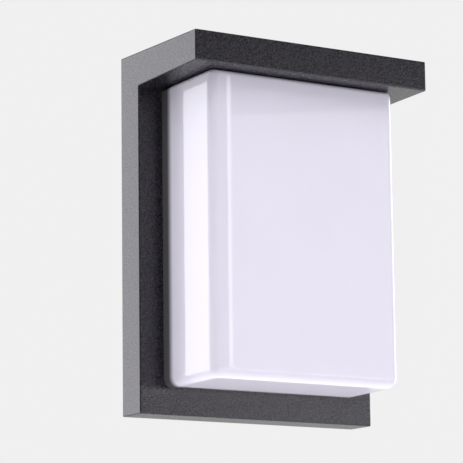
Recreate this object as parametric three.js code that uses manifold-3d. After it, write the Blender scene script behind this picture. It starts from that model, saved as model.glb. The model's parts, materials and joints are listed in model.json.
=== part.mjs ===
// Outdoor wall lantern: a die-cast housing (flat back tray with a deep visor), an opal
// diffuser under the visor, the LED board, mains driver and wiring inside, and the wall
// bracket that it hangs on.
//
// Millimetres, +Z up. The wall is the plane y = 0 and the lantern faces -Y. The origin is
// the middle of the wall bracket's back face.

import * as THREE from 'three';
import { mergeVertices } from 'three/addons/utils/BufferGeometryUtils.js';
import Module from 'manifold-3d';

const wasm = await Module();
wasm.setup();

// ---- Driving dimensions ----

const GAP = 0.3; // clearance between pieces that touch
const OVERLAP = 0.5; // how far joined shapes run into each other
const BAR_SIDES = 12; // facets of a round bar or hole
const HOLE_SIDES = 8; // facets of a screw hole

// Housing casting
const WIDTH = 152;
const HEIGHT = 200;
const DEPTH = 79;
const TRAY_DEPTH = 19;
const VISOR_FRONT = 16.9; // visor thickness at its front edge
const VISOR_REAR = 18.9; // and where it meets the tray
const RIM_GAP = 0.3; // the tray's rim stops this far short of the wall
const RIM_STOCK = 2.5; // extra metal behind the rim, machined off flat
const WALL = 3;
const EDGE_RADIUS = 0.9;
const INNER_CORNER_RADIUS = 0.6;
const VISOR_RIB_X = 26; // stiffening ribs inside the visor
const VISOR_FLOOR = 2.7; // least wall under the visor's hollow

// Diffuser
const DIFFUSER_HALF_WIDTH = 61.3;
const DIFFUSER_BOTTOM = -85.4;
const DIFFUSER_DEPTH = 50;
const DIFFUSER_RADIUS = 5;
const DIFFUSER_WALL = 2;
const DIFFUSER_DRAFT = 1; // how much each side leans in over the depth
const LUG_SIZE = 10;
const LUG_DEPTH = 12;
const LUG_X = 40;

// Plinth that the LED board sits on
const PLINTH_HALF_WIDTH = 58;
const PLINTH_HEIGHT = 8;
const PLINTH_RADIUS = 3;

// Closed electrical space behind the plinth
const FRAME_HALF_WIDTH = 57.5;
const FRAME_BOTTOM = -88.5;
const FRAME_TOP = 84;
const FRAME_WALL = 2.5;
const FRAME_BACK = -7; // y of the frame's rim
const COVER_THICKNESS = 2;
const COVER_GASKET = 1;

// Wall bracket
const SHEET = 2;
const BRACKET_HALF_WIDTH = 72.3;
const BRACKET_STEP_X = 60.5; // where the sheet steps forward
const BRACKET_STEP = 8; // how far it steps forward
const BRACKET_HALF_HEIGHT = 80;
const BRACKET_MIDDLE_HALF_WIDTH = 36;
const BRACKET_BOTTOM = -85;
const TAB_TOP = 95.8;
const TAB_X = 25;
const TAB_WIDTH = 16;
const TAB_DEPTH = 14;
const CABLE_HOLE_RADIUS = 9.8;
const CABLE_HOLE_Z = -52;
const WALL_SLOT_RADIUS = 30; // the wall-screw slots lie on a circle of this radius
const WALL_SLOT_WIDTH = 5.2;
const WALL_SLOT_LENGTH = 13;

// Hanging studs and the bracket's keyholes
const STUD_X = 66.2;
const STUD_ROWS = [-60, 52];
const STUD_RADIUS = 2;
const STUD_HEAD_RADIUS = 3.7;
const LIFT = 8.5; // lift that frees the studs
const KEYHOLE_RADIUS = 4.3;

// Fixing screws, down through the top wall into the bracket's tabs
const FIXING_Y = -8;
const FIXING_RADIUS = 2;
const FIXING_HEAD_RADIUS = 3.9;
const FIXING_BOTTOM = 88;

// M3 screws inside
const SCREW_RADIUS = 1.5;
const SCREW_HEAD_RADIUS = 2.8;
const SCREW_HEAD_HEIGHT = 2;
const SCREW_SIDES = 10;
const SOCKET_RADIUS = 1.2; // hexagonal driving socket
const SCREW_HOLE = SCREW_RADIUS + GAP;

// LED board
const BOARD_HALF_WIDTH = 44;
const BOARD_HALF_HEIGHT = 58;
const BOARD_Z = -2;
const BOARD_THICKNESS = 1.6;
const PAD_THICKNESS = 0.5;
const LED_SIZE = 5;
const LED_HEIGHT = 0.8;
const LED_COLUMN_X = 22;
const LED_ROW_PITCH = 22;
const BOARD_SCREW_X = 38;
const BOARD_SCREW_Z = 52;
const FEED_X = 51; // hole that the LED wires pass through
const FEED_Z = 12;
const FEED_RADIUS = 3.4;

// Driver
const DRIVER_HALF_LENGTH = 42;
const DRIVER_BOTTOM = 28;
const DRIVER_TOP = 60;
const DRIVER_DEPTH = 14.5;
const DRIVER_WALL = 1.5;
const DRIVER_EAR_X = 46.5;
const DRIVER_EAR_Z = 44;

// Terminal block and earth point
const BLOCK_LEFT = -34;
const BLOCK_RIGHT = -8;
const BLOCK_BOTTOM = -24;
const BLOCK_TOP = -6;
const BLOCK_DEPTH = 14;
const POLE_XS = [-29, -21, -13];
const POLE_Y = -17;
const EARTH_X = 24;
const EARTH_Z = -30;

const WIRE_RADIUS = 1;
const WIRE_STEPS = 18;
const GROMMET_BORE = 4.5;
const VENT_Z = 66;

// ---- Heights worked out from them ----

const HALF_WIDTH = WIDTH / 2;
const HALF_HEIGHT = HEIGHT / 2;
const TRAY_FACE = -TRAY_DEPTH;
const WEB_BACK = TRAY_FACE + WALL;
const DIFFUSER_REAR = TRAY_FACE - GAP;
const DIFFUSER_TOP = HALF_HEIGHT - VISOR_REAR - GAP;
const DIFFUSER_FRONT = DIFFUSER_REAR - DIFFUSER_DEPTH;
const DIFFUSER_MIDDLE = (DIFFUSER_TOP + DIFFUSER_BOTTOM) / 2;
const DIFFUSER_HALF_HEIGHT = (DIFFUSER_TOP - DIFFUSER_BOTTOM) / 2;
const PLINTH_HALF_HEIGHT = DIFFUSER_HALF_HEIGHT - DIFFUSER_WALL - 1.3;
const PLINTH_FACE = TRAY_FACE - PLINTH_HEIGHT;
const PLINTH_BACK = PLINTH_FACE + WALL;
const FRAME_MIDDLE = (FRAME_TOP + FRAME_BOTTOM) / 2;
const FRAME_HALF_HEIGHT = (FRAME_TOP - FRAME_BOTTOM) / 2;
const COVER_FRONT = FRAME_BACK + 2 * GAP + COVER_GASKET;
const COVER_BACK = COVER_FRONT + COVER_THICKNESS;
const LUG_ZS = [
  DIFFUSER_BOTTOM + DIFFUSER_WALL + LUG_SIZE / 2 + 0.5,
  DIFFUSER_TOP - DIFFUSER_WALL - LUG_SIZE / 2 - 0.5,
];
const COVER_SCREW_X = 51;
const COVER_SCREW_ZS = [-82, -2.3, 77.5];
const COVER_BOSS_RADIUS = 3.5;
const PAD_FRONT = PLINTH_FACE - GAP - PAD_THICKNESS;
const BOARD_BACK = PAD_FRONT - GAP;
const BOARD_FRONT = BOARD_BACK - BOARD_THICKNESS;
const DRIVER_FRONT = PLINTH_BACK + GAP;
const DRIVER_LID_FRONT = DRIVER_FRONT + DRIVER_DEPTH + GAP;
const DRIVER_BOARD_FRONT = DRIVER_FRONT + DRIVER_WALL + 2;
const DRIVER_BOARD_BACK = DRIVER_BOARD_FRONT + 1.5;
const WING_FRONT = -BRACKET_STEP;
const WING_BACK = WING_FRONT + SHEET;

// ---- Materials ----

const finish = (color, roughness, metalness = 0) =>
  new THREE.MeshStandardMaterial({ color, roughness, metalness });

const FINISH = {
  powderCoat: finish(0x2d2d31, 0.6),
  opal: finish(0xe6e3ee, 0.25),
  silicone: finish(0x3a3a3c, 0.8),
  screwSteel: finish(0xb9babb, 0.3, 1),
  galvanised: finish(0xa9adb0, 0.45, 1),
  boardWhite: finish(0xf2f2ef, 0.4),
  heatPad: finish(0x8fa3b5, 0.9),
  phosphor: finish(0xf0d257, 0.5),
  whiteNylon: finish(0xe9e7e0, 0.5),
  blackPlastic: finish(0x1d1d1f, 0.5),
  circuitGreen: finish(0x2f6b3c, 0.5),
  ferrite: finish(0x3b3a38, 0.7),
  capacitorBlack: finish(0x23242a, 0.35),
  tinnedBrass: finish(0xc7b58a, 0.35, 1),
  brownWire: finish(0x6b3f22, 0.5),
  blueWire: finish(0x2d5fae, 0.5),
  earthWire: finish(0x7fae35, 0.5),
  redWire: finish(0xb02a25, 0.5),
  blackWire: finish(0x1c1c1e, 0.5),
  rubber: finish(0x222224, 0.85),
};

// ---- Joining and cutting ----

// The closed solid of a geometry whose shared corners are merged.
function solid(geometry) {
  const bare = geometry.clone();
  bare.deleteAttribute('normal');
  bare.deleteAttribute('uv');
  const merged = mergeVertices(bare, 1e-4);
  return new wasm.Manifold(new wasm.Mesh({
    numProp: 3,
    vertProperties: new Float32Array(merged.attributes.position.array),
    triVerts: new Uint32Array(merged.index.array),
  }));
}

function geometryOf(body) {
  const mesh = body.getMesh();
  const geometry = new THREE.BufferGeometry();
  geometry.setAttribute('position', new THREE.BufferAttribute(mesh.vertProperties, 3));
  geometry.setIndex(new THREE.BufferAttribute(mesh.triVerts, 1));
  return geometry;
}

const joined = (first, ...others) => others.reduce((all, next) => all.add(next), first);
const cut = (body, ...tools) => tools.reduce((rest, tool) => rest.subtract(tool), body);

// ---- Basic shapes ----

function block([x0, x1], [y0, y1], [z0, z1]) {
  const box = new THREE.BoxGeometry(x1 - x0, y1 - y0, z1 - z0);
  box.translate((x0 + x1) / 2, (y0 + y1) / 2, (z0 + z1) / 2);
  return solid(box);
}

// A round bar along Y, between two depths.
function barY(radius, [y0, y1], x, z, sides = BAR_SIDES) {
  const bar = new THREE.CylinderGeometry(radius, radius, y1 - y0, sides);
  bar.translate(x, (y0 + y1) / 2, z);
  return solid(bar);
}

// A round bar or cone along Z; the first radius is at the top.
function barZ(topRadius, bottomRadius, [z0, z1], x, y, sides = BAR_SIDES) {
  const bar = new THREE.CylinderGeometry(topRadius, bottomRadius, z1 - z0, sides);
  bar.rotateX(Math.PI / 2);
  bar.translate(x, y, (z0 + z1) / 2);
  return solid(bar);
}

function roundedRectangle(halfWidth, halfHeight, radius, topRadius = radius) {
  const shape = new THREE.Shape();
  const x = halfWidth - radius;
  const y = halfHeight - radius;
  const topX = halfWidth - topRadius;
  const topY = halfHeight - topRadius;
  shape.absarc(topX, topY, topRadius, 0, Math.PI / 2);
  shape.absarc(-topX, topY, topRadius, Math.PI / 2, Math.PI);
  shape.absarc(-x, -y, radius, Math.PI, 1.5 * Math.PI);
  shape.absarc(x, -y, radius, 1.5 * Math.PI, 2 * Math.PI);
  shape.closePath();
  return shape;
}

// A shape drawn in (x, z), made into a plate between two depths along Y.
function plateY(shape, [y0, y1], middleZ = 0, curveSegments = 3) {
  const plate = new THREE.ExtrudeGeometry(shape, {
    depth: y1 - y0, bevelEnabled: false, curveSegments,
  });
  plate.rotateX(Math.PI / 2);
  plate.translate(0, y1, middleZ);
  return solid(plate);
}

// A slot with round ends, cut through Y.
function slot(x, z, length, height, depth) {
  const shape = roundedRectangle(length / 2, height / 2, Math.min(length, height) / 2 - 0.01);
  return plateY(shape, depth, z).translate([x, 0, 0]);
}

// A pan-head screw along Y: head at the back (+Y side) or front, shank towards the tip.
function panScrew(x, z, headY, tipY, radius = SCREW_RADIUS, headRadius = SCREW_HEAD_RADIUS) {
  const away = Math.sign(headY - tipY);
  const headTop = headY + away * SCREW_HEAD_HEIGHT;
  const profile = [
    [0, tipY], [radius, tipY], [radius, headY], [headRadius, headY],
    [headRadius, headY + away * 1.1], [headRadius * 0.7, headTop], [0, headTop],
  ].map(([r, y]) => new THREE.Vector2(r, y));
  if (away < 0) profile.reverse();
  const screw = new THREE.LatheGeometry(profile, SCREW_SIDES);
  screw.translate(x, 0, z);
  return cut(solid(screw), barY(SOCKET_RADIUS, [headTop - 1.1, headTop + 1.1], x, z, 6));
}

// A tube of one radius along a smooth curve through points.
function wireAlong(points) {
  const section = new THREE.Shape();
  section.absarc(0, 0, WIRE_RADIUS, 0, 2 * Math.PI);
  const path = new THREE.CatmullRomCurve3(points.map((p) => new THREE.Vector3(...p)),
    false, 'centripetal');
  const tube = new THREE.ExtrudeGeometry(section, {
    steps: WIRE_STEPS, curveSegments: 4, extrudePath: path,
  });
  return solid(tube);
}

// ---- Housing ----

// The side view: full-height tray at the back, visor at the top, every corner rounded.
function sideOutline() {
  const corners = [
    [RIM_STOCK, -HALF_HEIGHT, EDGE_RADIUS],
    [RIM_STOCK, HALF_HEIGHT, EDGE_RADIUS],
    [-DEPTH, HALF_HEIGHT, EDGE_RADIUS],
    [-DEPTH, HALF_HEIGHT - VISOR_FRONT, EDGE_RADIUS],
    [TRAY_FACE, HALF_HEIGHT - VISOR_REAR, INNER_CORNER_RADIUS],
    [TRAY_FACE, -HALF_HEIGHT, EDGE_RADIUS],
  ].map(([y, z, radius]) => ({ at: new THREE.Vector2(y, z), radius }));
  const shape = new THREE.Shape();
  corners.forEach(({ at, radius }, i) => {
    const before = corners.at(i - 1).at;
    const after = corners[(i + 1) % corners.length].at;
    const start = before.clone().sub(at).setLength(radius).add(at);
    const end = after.clone().sub(at).setLength(radius).add(at);
    if (i === 0) shape.moveTo(start.x, start.y);
    else shape.lineTo(start.x, start.y);
    shape.quadraticCurveTo(at.x, at.y, end.x, end.y);
  });
  shape.closePath();
  return shape;
}

// The casting's outside, drawn in (y, z) and run along X with rounded side edges. The rim
// is then machined flat, so its edges are sharp.
function castingOutside() {
  const bevel = EDGE_RADIUS * 0.8;
  const outside = new THREE.ExtrudeGeometry(sideOutline(), {
    depth: WIDTH - 2 * bevel,
    bevelThickness: bevel,
    bevelSize: bevel,
    bevelOffset: -bevel,
    bevelSegments: 3,
    curveSegments: 4,
  });
  outside.applyMatrix4(new THREE.Matrix4().makeBasis(
    new THREE.Vector3(0, 1, 0), new THREE.Vector3(0, 0, 1), new THREE.Vector3(1, 0, 0)));
  outside.translate(-HALF_WIDTH + bevel, 0, 0);
  return cut(solid(outside), block([-HALF_WIDTH - 1, HALF_WIDTH + 1],
    [-RIM_GAP, RIM_STOCK + 1], [-HALF_HEIGHT - 1, HALF_HEIGHT + 1]));
}

// Room in the plinth for the diffuser's lugs, with an allowance all round.
function lugNotches(allowance, depth) {
  const half = LUG_SIZE / 2 + 2 + allowance;
  const reach = LUG_SIZE + 3.5 + allowance;
  const low = DIFFUSER_MIDDLE - PLINTH_HALF_HEIGHT;
  const high = DIFFUSER_MIDDLE + PLINTH_HALF_HEIGHT;
  return [-LUG_X, LUG_X].flatMap((x) => [
    block([x - half, x + half], depth, [low - 5, low + reach]),
    block([x - half, x + half], depth, [high - reach, high + 5]),
  ]);
}

function plinth() {
  const outside = plateY(roundedRectangle(PLINTH_HALF_WIDTH, PLINTH_HALF_HEIGHT, PLINTH_RADIUS),
    [PLINTH_FACE, WEB_BACK], DIFFUSER_MIDDLE);
  return cut(outside, ...lugNotches(0, [PLINTH_FACE - 1, TRAY_FACE]));
}

function plinthHollow() {
  const inside = plateY(
    roundedRectangle(PLINTH_HALF_WIDTH - WALL, PLINTH_HALF_HEIGHT - WALL, PLINTH_RADIUS),
    [PLINTH_BACK, WEB_BACK + OVERLAP], DIFFUSER_MIDDLE);
  return cut(inside, ...lugNotches(WALL, [PLINTH_BACK - 1, WEB_BACK]));
}

// The visor is cored out from behind, in three bays between two ribs.
function visorHollows() {
  const floor = HALF_HEIGHT - VISOR_FRONT + VISOR_FLOOR;
  const side = HALF_WIDTH - WALL;
  const bays = [[-side, -VISOR_RIB_X - 1], [-VISOR_RIB_X + 1, VISOR_RIB_X - 1],
    [VISOR_RIB_X + 1, side]];
  return bays.map((bay) => block(bay, [-DEPTH + WALL, WEB_BACK + OVERLAP],
    [floor, HALF_HEIGHT - WALL]));
}

// Groove in the tray's face that holds the diffuser's gasket.
function gasketRing(clearance, depth) {
  const outer = DIFFUSER_HALF_WIDTH - 0.6;
  const outerHeight = DIFFUSER_HALF_HEIGHT - 0.6;
  const width = 1.8;
  const topRadius = 2.4;
  return cut(
    plateY(roundedRectangle(outer + clearance, outerHeight + clearance,
      DIFFUSER_RADIUS, topRadius), depth, DIFFUSER_MIDDLE),
    plateY(roundedRectangle(outer - width - clearance, outerHeight - width - clearance,
      DIFFUSER_RADIUS - width, topRadius - width), [depth[0] - 1, depth[1] + 1],
    DIFFUSER_MIDDLE));
}

function frameRing(depth, inset = 0) {
  return cut(
    plateY(roundedRectangle(FRAME_HALF_WIDTH - inset, FRAME_HALF_HEIGHT - inset, 2),
      depth, FRAME_MIDDLE),
    plateY(roundedRectangle(FRAME_HALF_WIDTH - FRAME_WALL, FRAME_HALF_HEIGHT - FRAME_WALL, 2),
      [depth[0] - 1, depth[1] + 1], FRAME_MIDDLE));
}

function coverScrewPlaces() {
  return COVER_SCREW_ZS.flatMap((z) => [-COVER_SCREW_X, COVER_SCREW_X].map((x) => [x, z]));
}

function studPlaces() {
  return STUD_ROWS.flatMap((z) => [-STUD_X, STUD_X].map((x) => [x, z]));
}

function lugPlaces() {
  return LUG_ZS.flatMap((z) => [-LUG_X, LUG_X].map((x) => [x, z]));
}

function boardScrewPlaces() {
  return [-BOARD_SCREW_Z, BOARD_SCREW_Z].flatMap((z) =>
    [-BOARD_SCREW_X, BOARD_SCREW_X].map((x) => [x, BOARD_Z + z]));
}

function housingBosses() {
  const coverBosses = coverScrewPlaces().map(([x, z], i) => {
    const inPlinth = i === 2 || i === 3; // the middle pair stands on the plinth's back
    return barY(COVER_BOSS_RADIUS, [(inPlinth ? PLINTH_BACK : WEB_BACK) - OVERLAP, FRAME_BACK],
      x, z);
  });
  const studBosses = studPlaces().map(([x, z]) =>
    barY(4.5, [WEB_BACK - OVERLAP, WING_FRONT - 2 * GAP], x, z));
  const studRibs = studPlaces().map(([x, z]) => block(
    [Math.min(x, Math.sign(x) * (HALF_WIDTH - WALL + OVERLAP)),
      Math.max(x, Math.sign(x) * (HALF_WIDTH - WALL + OVERLAP))],
    [WEB_BACK - OVERLAP, WING_FRONT - 3], [z - 1, z + 1]));
  const earthBoss = barY(5, [PLINTH_BACK - OVERLAP, PLINTH_BACK + 4], EARTH_X, EARTH_Z);
  const driverBosses = [-DRIVER_EAR_X, DRIVER_EAR_X].map((x) =>
    barY(3.2, [PLINTH_BACK - OVERLAP, DRIVER_FRONT + 1], x, DRIVER_EAR_Z));
  return [...coverBosses, ...studBosses, ...studRibs, earthBoss, ...driverBosses];
}

function housingHoles() {
  const beyond = 1;
  const coverHoles = coverScrewPlaces().map(([x, z]) =>
    barY(SCREW_HOLE, [FRAME_BACK - 7.5, FRAME_BACK + beyond], x, z, HOLE_SIDES));
  const studHoles = studPlaces().map(([x, z]) =>
    barY(STUD_RADIUS + GAP, [WEB_BACK + 1, 0], x, z));
  const lugHoles = lugPlaces().map(([x, z]) =>
    barY(SCREW_HOLE, [TRAY_FACE - beyond, WEB_BACK + beyond], x, z, HOLE_SIDES));
  const boardHoles = boardScrewPlaces().map(([x, z]) =>
    barY(SCREW_HOLE, [PLINTH_FACE - beyond, PLINTH_BACK + beyond], x, z, HOLE_SIDES));
  const driverHoles = [-DRIVER_EAR_X, DRIVER_EAR_X].map((x) =>
    barY(SCREW_HOLE, [PLINTH_BACK - 1.5, DRIVER_FRONT + 2], x, DRIVER_EAR_Z, HOLE_SIDES));
  const earthHole = barY(STUD_RADIUS + GAP, [PLINTH_BACK - 1.2, PLINTH_BACK + 5],
    EARTH_X, EARTH_Z);
  const feedHole = barY(FEED_RADIUS, [PLINTH_FACE - beyond, PLINTH_BACK + beyond],
    FEED_X, FEED_Z);
  const fixingHoles = [-TAB_X, TAB_X].flatMap((x) => [
    barZ(FIXING_RADIUS + GAP, FIXING_RADIUS + GAP, [90, HALF_HEIGHT + beyond], x, FIXING_Y),
    barZ(FIXING_HEAD_RADIUS + GAP + 0.2, FIXING_RADIUS + GAP,
      [HALF_HEIGHT - 2.1, HALF_HEIGHT + 0.05], x, FIXING_Y, 18),
  ]);
  return [...coverHoles, ...studHoles, ...lugHoles, ...boardHoles, ...driverHoles,
    earthHole, feedHole, ...fixingHoles];
}

function housing() {
  const trayHollow = block([-HALF_WIDTH + WALL, HALF_WIDTH - WALL], [WEB_BACK, 1],
    [-HALF_HEIGHT + WALL, HALF_HEIGHT - WALL]);
  const shell = cut(castingOutside(), trayHollow, ...visorHollows());
  const body = cut(joined(shell, plinth()), plinthHollow(),
    gasketRing(GAP, [TRAY_FACE - 0.01, TRAY_FACE + 1.6]));
  return cut(joined(body, frameRing([WEB_BACK - OVERLAP, FRAME_BACK]), ...housingBosses()),
    ...housingHoles());
}

// ---- Diffuser ----

// Leans the sides and the bottom in towards the front, as a moulding's draft does.
function withDraft(geometry) {
  const place = geometry.attributes.position;
  for (let i = 0; i < place.count; i += 1) {
    const lean = DIFFUSER_DRAFT * (DIFFUSER_REAR - place.getY(i)) / DIFFUSER_DEPTH;
    place.setX(i, place.getX(i) - Math.sign(place.getX(i)) * lean);
    if (place.getZ(i) < DIFFUSER_MIDDLE) place.setZ(i, place.getZ(i) + lean);
  }
  return geometry;
}

// What of a body lies at least the clearance below the visor's sloping underside.
function belowVisor(body, clearance) {
  const slope = (VISOR_REAR - VISOR_FRONT) / (DEPTH - TRAY_DEPTH);
  const down = new THREE.Vector3(0, -slope, -1).normalize();
  const inCorner = new THREE.Vector3(0, TRAY_FACE, HALF_HEIGHT - VISOR_REAR);
  return body.trimByPlane(down.toArray(), inCorner.dot(down) + clearance);
}

// A box with rounded sides, bottom and front edges, at the given inset all round. It is
// open past the rim, and its top is flat, close under the visor.
function diffuserForm(inset, rearY) {
  const radius = DIFFUSER_RADIUS - inset;
  const extraTop = 12;
  const shape = roundedRectangle(DIFFUSER_HALF_WIDTH - inset,
    DIFFUSER_HALF_HEIGHT - inset + extraTop / 2, radius + 0.4);
  const depth = rearY - DIFFUSER_FRONT - inset - radius;
  const form = new THREE.ExtrudeGeometry(shape, {
    depth,
    bevelThickness: radius,
    bevelSize: radius,
    bevelOffset: -radius,
    bevelSegments: 4,
    curveSegments: 4,
  });
  form.rotateX(Math.PI / 2);
  form.translate(0, rearY, DIFFUSER_MIDDLE + extraTop / 2);
  return belowVisor(solid(withDraft(form)), GAP + inset);
}

function diffuser() {
  const past = DIFFUSER_RADIUS + 3;
  const shell = cut(diffuserForm(0, DIFFUSER_REAR + past),
    diffuserForm(DIFFUSER_WALL, DIFFUSER_REAR + past + 1));
  const lugs = lugPlaces().map(([x, z]) => {
    const outward = Math.sign(z - DIFFUSER_MIDDLE);
    const edge = z + outward * (LUG_SIZE / 2 + 1);
    return block([x - LUG_SIZE / 2, x + LUG_SIZE / 2],
      [DIFFUSER_REAR - LUG_DEPTH, DIFFUSER_REAR],
      [Math.min(z - outward * LUG_SIZE / 2, edge), Math.max(z - outward * LUG_SIZE / 2, edge)]);
  });
  const rimCut = block([-HALF_WIDTH, HALF_WIDTH], [DIFFUSER_REAR, 20], [-HALF_HEIGHT, HALF_HEIGHT]);
  const holes = lugPlaces().map(([x, z]) =>
    barY(SCREW_HOLE, [DIFFUSER_REAR - LUG_DEPTH + 1.5, DIFFUSER_REAR + 1], x, z, HOLE_SIDES));
  return cut(joined(cut(shell, rimCut), ...lugs), ...holes);
}

// ---- Light source ----

function boardPlate(halfWidth, halfHeight, depth) {
  const plate = plateY(roundedRectangle(halfWidth, halfHeight, 2), depth, BOARD_Z, 2);
  const holes = boardScrewPlaces().map(([x, z]) =>
    barY(SCREW_HOLE, [depth[0] - 1, depth[1] + 1], x, z, HOLE_SIDES));
  return cut(plate, ...holes);
}

// A chip with its lens recess: a square body and a shallow round well for the phosphor.
function led(x, z) {
  const half = LED_SIZE / 2;
  const front = BOARD_FRONT - GAP - LED_HEIGHT;
  return cut(block([x - half, x + half], [front, BOARD_FRONT - GAP], [z - half, z + half]),
    barY(half * 0.75, [front - 1, front + 0.2], x, z));
}

function boardConnector() {
  const shell = block([35.5, 42.5], [BOARD_FRONT - GAP - 3.6, BOARD_FRONT - GAP],
    [FEED_Z - 3.5, FEED_Z + 3.5]);
  const sockets = [-1.6, 1.6].map((offset) => {
    const socket = new THREE.CylinderGeometry(WIRE_RADIUS + GAP, WIRE_RADIUS + GAP, 6, 12);
    socket.rotateZ(Math.PI / 2);
    socket.translate(42, BOARD_FRONT - GAP - 1.8, FEED_Z + offset);
    return solid(socket);
  });
  return cut(shell, ...sockets);
}

// ---- Driver ----

function driverBase() {
  const tub = cut(
    block([-DRIVER_HALF_LENGTH, DRIVER_HALF_LENGTH], [DRIVER_FRONT, DRIVER_FRONT + DRIVER_DEPTH],
      [DRIVER_BOTTOM, DRIVER_TOP]),
    block([-DRIVER_HALF_LENGTH + DRIVER_WALL, DRIVER_HALF_LENGTH - DRIVER_WALL],
      [DRIVER_FRONT + DRIVER_WALL, 0], [DRIVER_BOTTOM + DRIVER_WALL, DRIVER_TOP - DRIVER_WALL]));
  const ears = [-1, 1].map((side) => {
    const inner = side * (DRIVER_HALF_LENGTH - OVERLAP);
    const outer = side * (DRIVER_EAR_X + 3.3);
    return block([Math.min(inner, outer), Math.max(inner, outer)],
      [DRIVER_FRONT + 1 + GAP, DRIVER_FRONT + 3], [DRIVER_EAR_Z - 4, DRIVER_EAR_Z + 4]);
  });
  const earHoles = [-DRIVER_EAR_X, DRIVER_EAR_X].map((x) =>
    barY(SCREW_HOLE, [DRIVER_FRONT - 1, DRIVER_FRONT + 4], x, DRIVER_EAR_Z, HOLE_SIDES));
  const pegs = [-30, 30].flatMap((x) => [DRIVER_BOTTOM + 6, DRIVER_TOP - 6].map((z) =>
    barY(1.8, [DRIVER_FRONT + 1, DRIVER_BOARD_FRONT - GAP], x, z, HOLE_SIDES)));
  const wireNotches = [-1, 1].map((side) => block(
    side < 0 ? [-DRIVER_HALF_LENGTH - 1, -DRIVER_HALF_LENGTH + 2]
      : [DRIVER_HALF_LENGTH - 2, DRIVER_HALF_LENGTH + 1],
    [DRIVER_BOARD_BACK, DRIVER_BOARD_BACK + 3.4], [DRIVER_EAR_Z + 5, DRIVER_TOP - 2]));
  return cut(joined(tub, ...ears, ...pegs), ...earHoles, ...wireNotches);
}

function driverLid() {
  const half = DRIVER_HALF_LENGTH;
  const top = block([-half, half], [DRIVER_LID_FRONT, DRIVER_LID_FRONT + DRIVER_WALL],
    [DRIVER_BOTTOM, DRIVER_TOP]);
  const inset = DRIVER_WALL + GAP;
  const lip = cut(
    block([-half + inset, half - inset], [DRIVER_LID_FRONT - 1.5, DRIVER_LID_FRONT + OVERLAP],
      [DRIVER_BOTTOM + inset, DRIVER_TOP - inset]),
    block([-half + inset + 1, half - inset - 1], [DRIVER_LID_FRONT - 3, DRIVER_LID_FRONT],
      [DRIVER_BOTTOM + inset + 1, DRIVER_TOP - inset - 1]));
  return joined(top, lip);
}

function driverCircuitBoard() {
  const inset = DRIVER_WALL + 0.6;
  return block([-DRIVER_HALF_LENGTH + inset, DRIVER_HALF_LENGTH - inset],
    [DRIVER_BOARD_FRONT, DRIVER_BOARD_BACK], [DRIVER_BOTTOM + inset, DRIVER_TOP - inset]);
}

// Two ferrite halves around a wound bobbin, as one block with a waist.
function driverTransformer() {
  const base = DRIVER_BOARD_BACK + GAP;
  const core = block([-2, 14], [base, base + 7.5], [33, 47]);
  const waist = [[32, 36], [44, 48]].map((z) => block([2, 10], [base + 1, base + 9], z));
  return cut(core, ...waist);
}

function driverCapacitor() {
  const can = new THREE.CylinderGeometry(3.6, 3.6, 15, 20);
  can.rotateZ(Math.PI / 2);
  can.translate(-20, DRIVER_BOARD_BACK + GAP + 3.7, 39);
  return solid(can);
}

// ---- Terminal block, earth point and wires ----

function terminalBlock() {
  const back = PLINTH_BACK + GAP + BLOCK_DEPTH;
  const body = block([BLOCK_LEFT, BLOCK_RIGHT], [back - BLOCK_DEPTH, back],
    [BLOCK_BOTTOM, BLOCK_TOP]);
  const middle = (BLOCK_BOTTOM + BLOCK_TOP) / 2;
  const wells = POLE_XS.map((x) => barY(2.6, [back - 5, back + 1], x, middle));
  const grooves = POLE_XS.slice(1).map((x) => block([x - 4.4, x - 3.6], [back - 3, back + 1],
    [BLOCK_BOTTOM - 1, BLOCK_TOP + 1]));
  const entries = POLE_XS.flatMap((x) => [
    barZ(1.9, 1.9, [BLOCK_TOP - 5, BLOCK_TOP + 1], x, POLE_Y, HOLE_SIDES),
    barZ(1.9, 1.9, [BLOCK_BOTTOM - 1, BLOCK_BOTTOM + 5], x, POLE_Y, HOLE_SIDES),
  ]);
  return cut(body, ...wells, ...grooves, ...entries);
}

// A slotted grub screw in one of the block's wells.
function terminalScrew(x) {
  const back = PLINTH_BACK + GAP + BLOCK_DEPTH - 1;
  const middle = (BLOCK_BOTTOM + BLOCK_TOP) / 2;
  const slot = block([x - 3, x + 3], [back - 1, back + 1], [middle - 0.35, middle + 0.35]);
  return cut(barY(2.2, [back - 3.6, back], x, middle), slot);
}

function earthRingTag() {
  const seat = PLINTH_BACK + 4 + GAP;
  const ring = cut(barY(4, [seat, seat + 0.8], EARTH_X, EARTH_Z),
    barY(STUD_RADIUS + GAP, [seat - 1, seat + 2], EARTH_X, EARTH_Z));
  const barrel = new THREE.CylinderGeometry(1.5, 1.5, 5, 12);
  barrel.rotateZ(Math.PI / 2);
  barrel.translate(EARTH_X - 7.4, seat + 1.2, EARTH_Z);
  const bore = new THREE.CylinderGeometry(WIRE_RADIUS + 0.25, WIRE_RADIUS + 0.25, 4, 12);
  bore.rotateZ(Math.PI / 2);
  bore.translate(EARTH_X - 9.4, seat + 1.2, EARTH_Z);
  const neck = block([EARTH_X - 6.5, EARTH_X - 2.8], [seat, seat + 0.8],
    [EARTH_Z - 1.2, EARTH_Z + 1.2]);
  return cut(joined(ring, neck, solid(barrel)), solid(bore));
}

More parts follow.
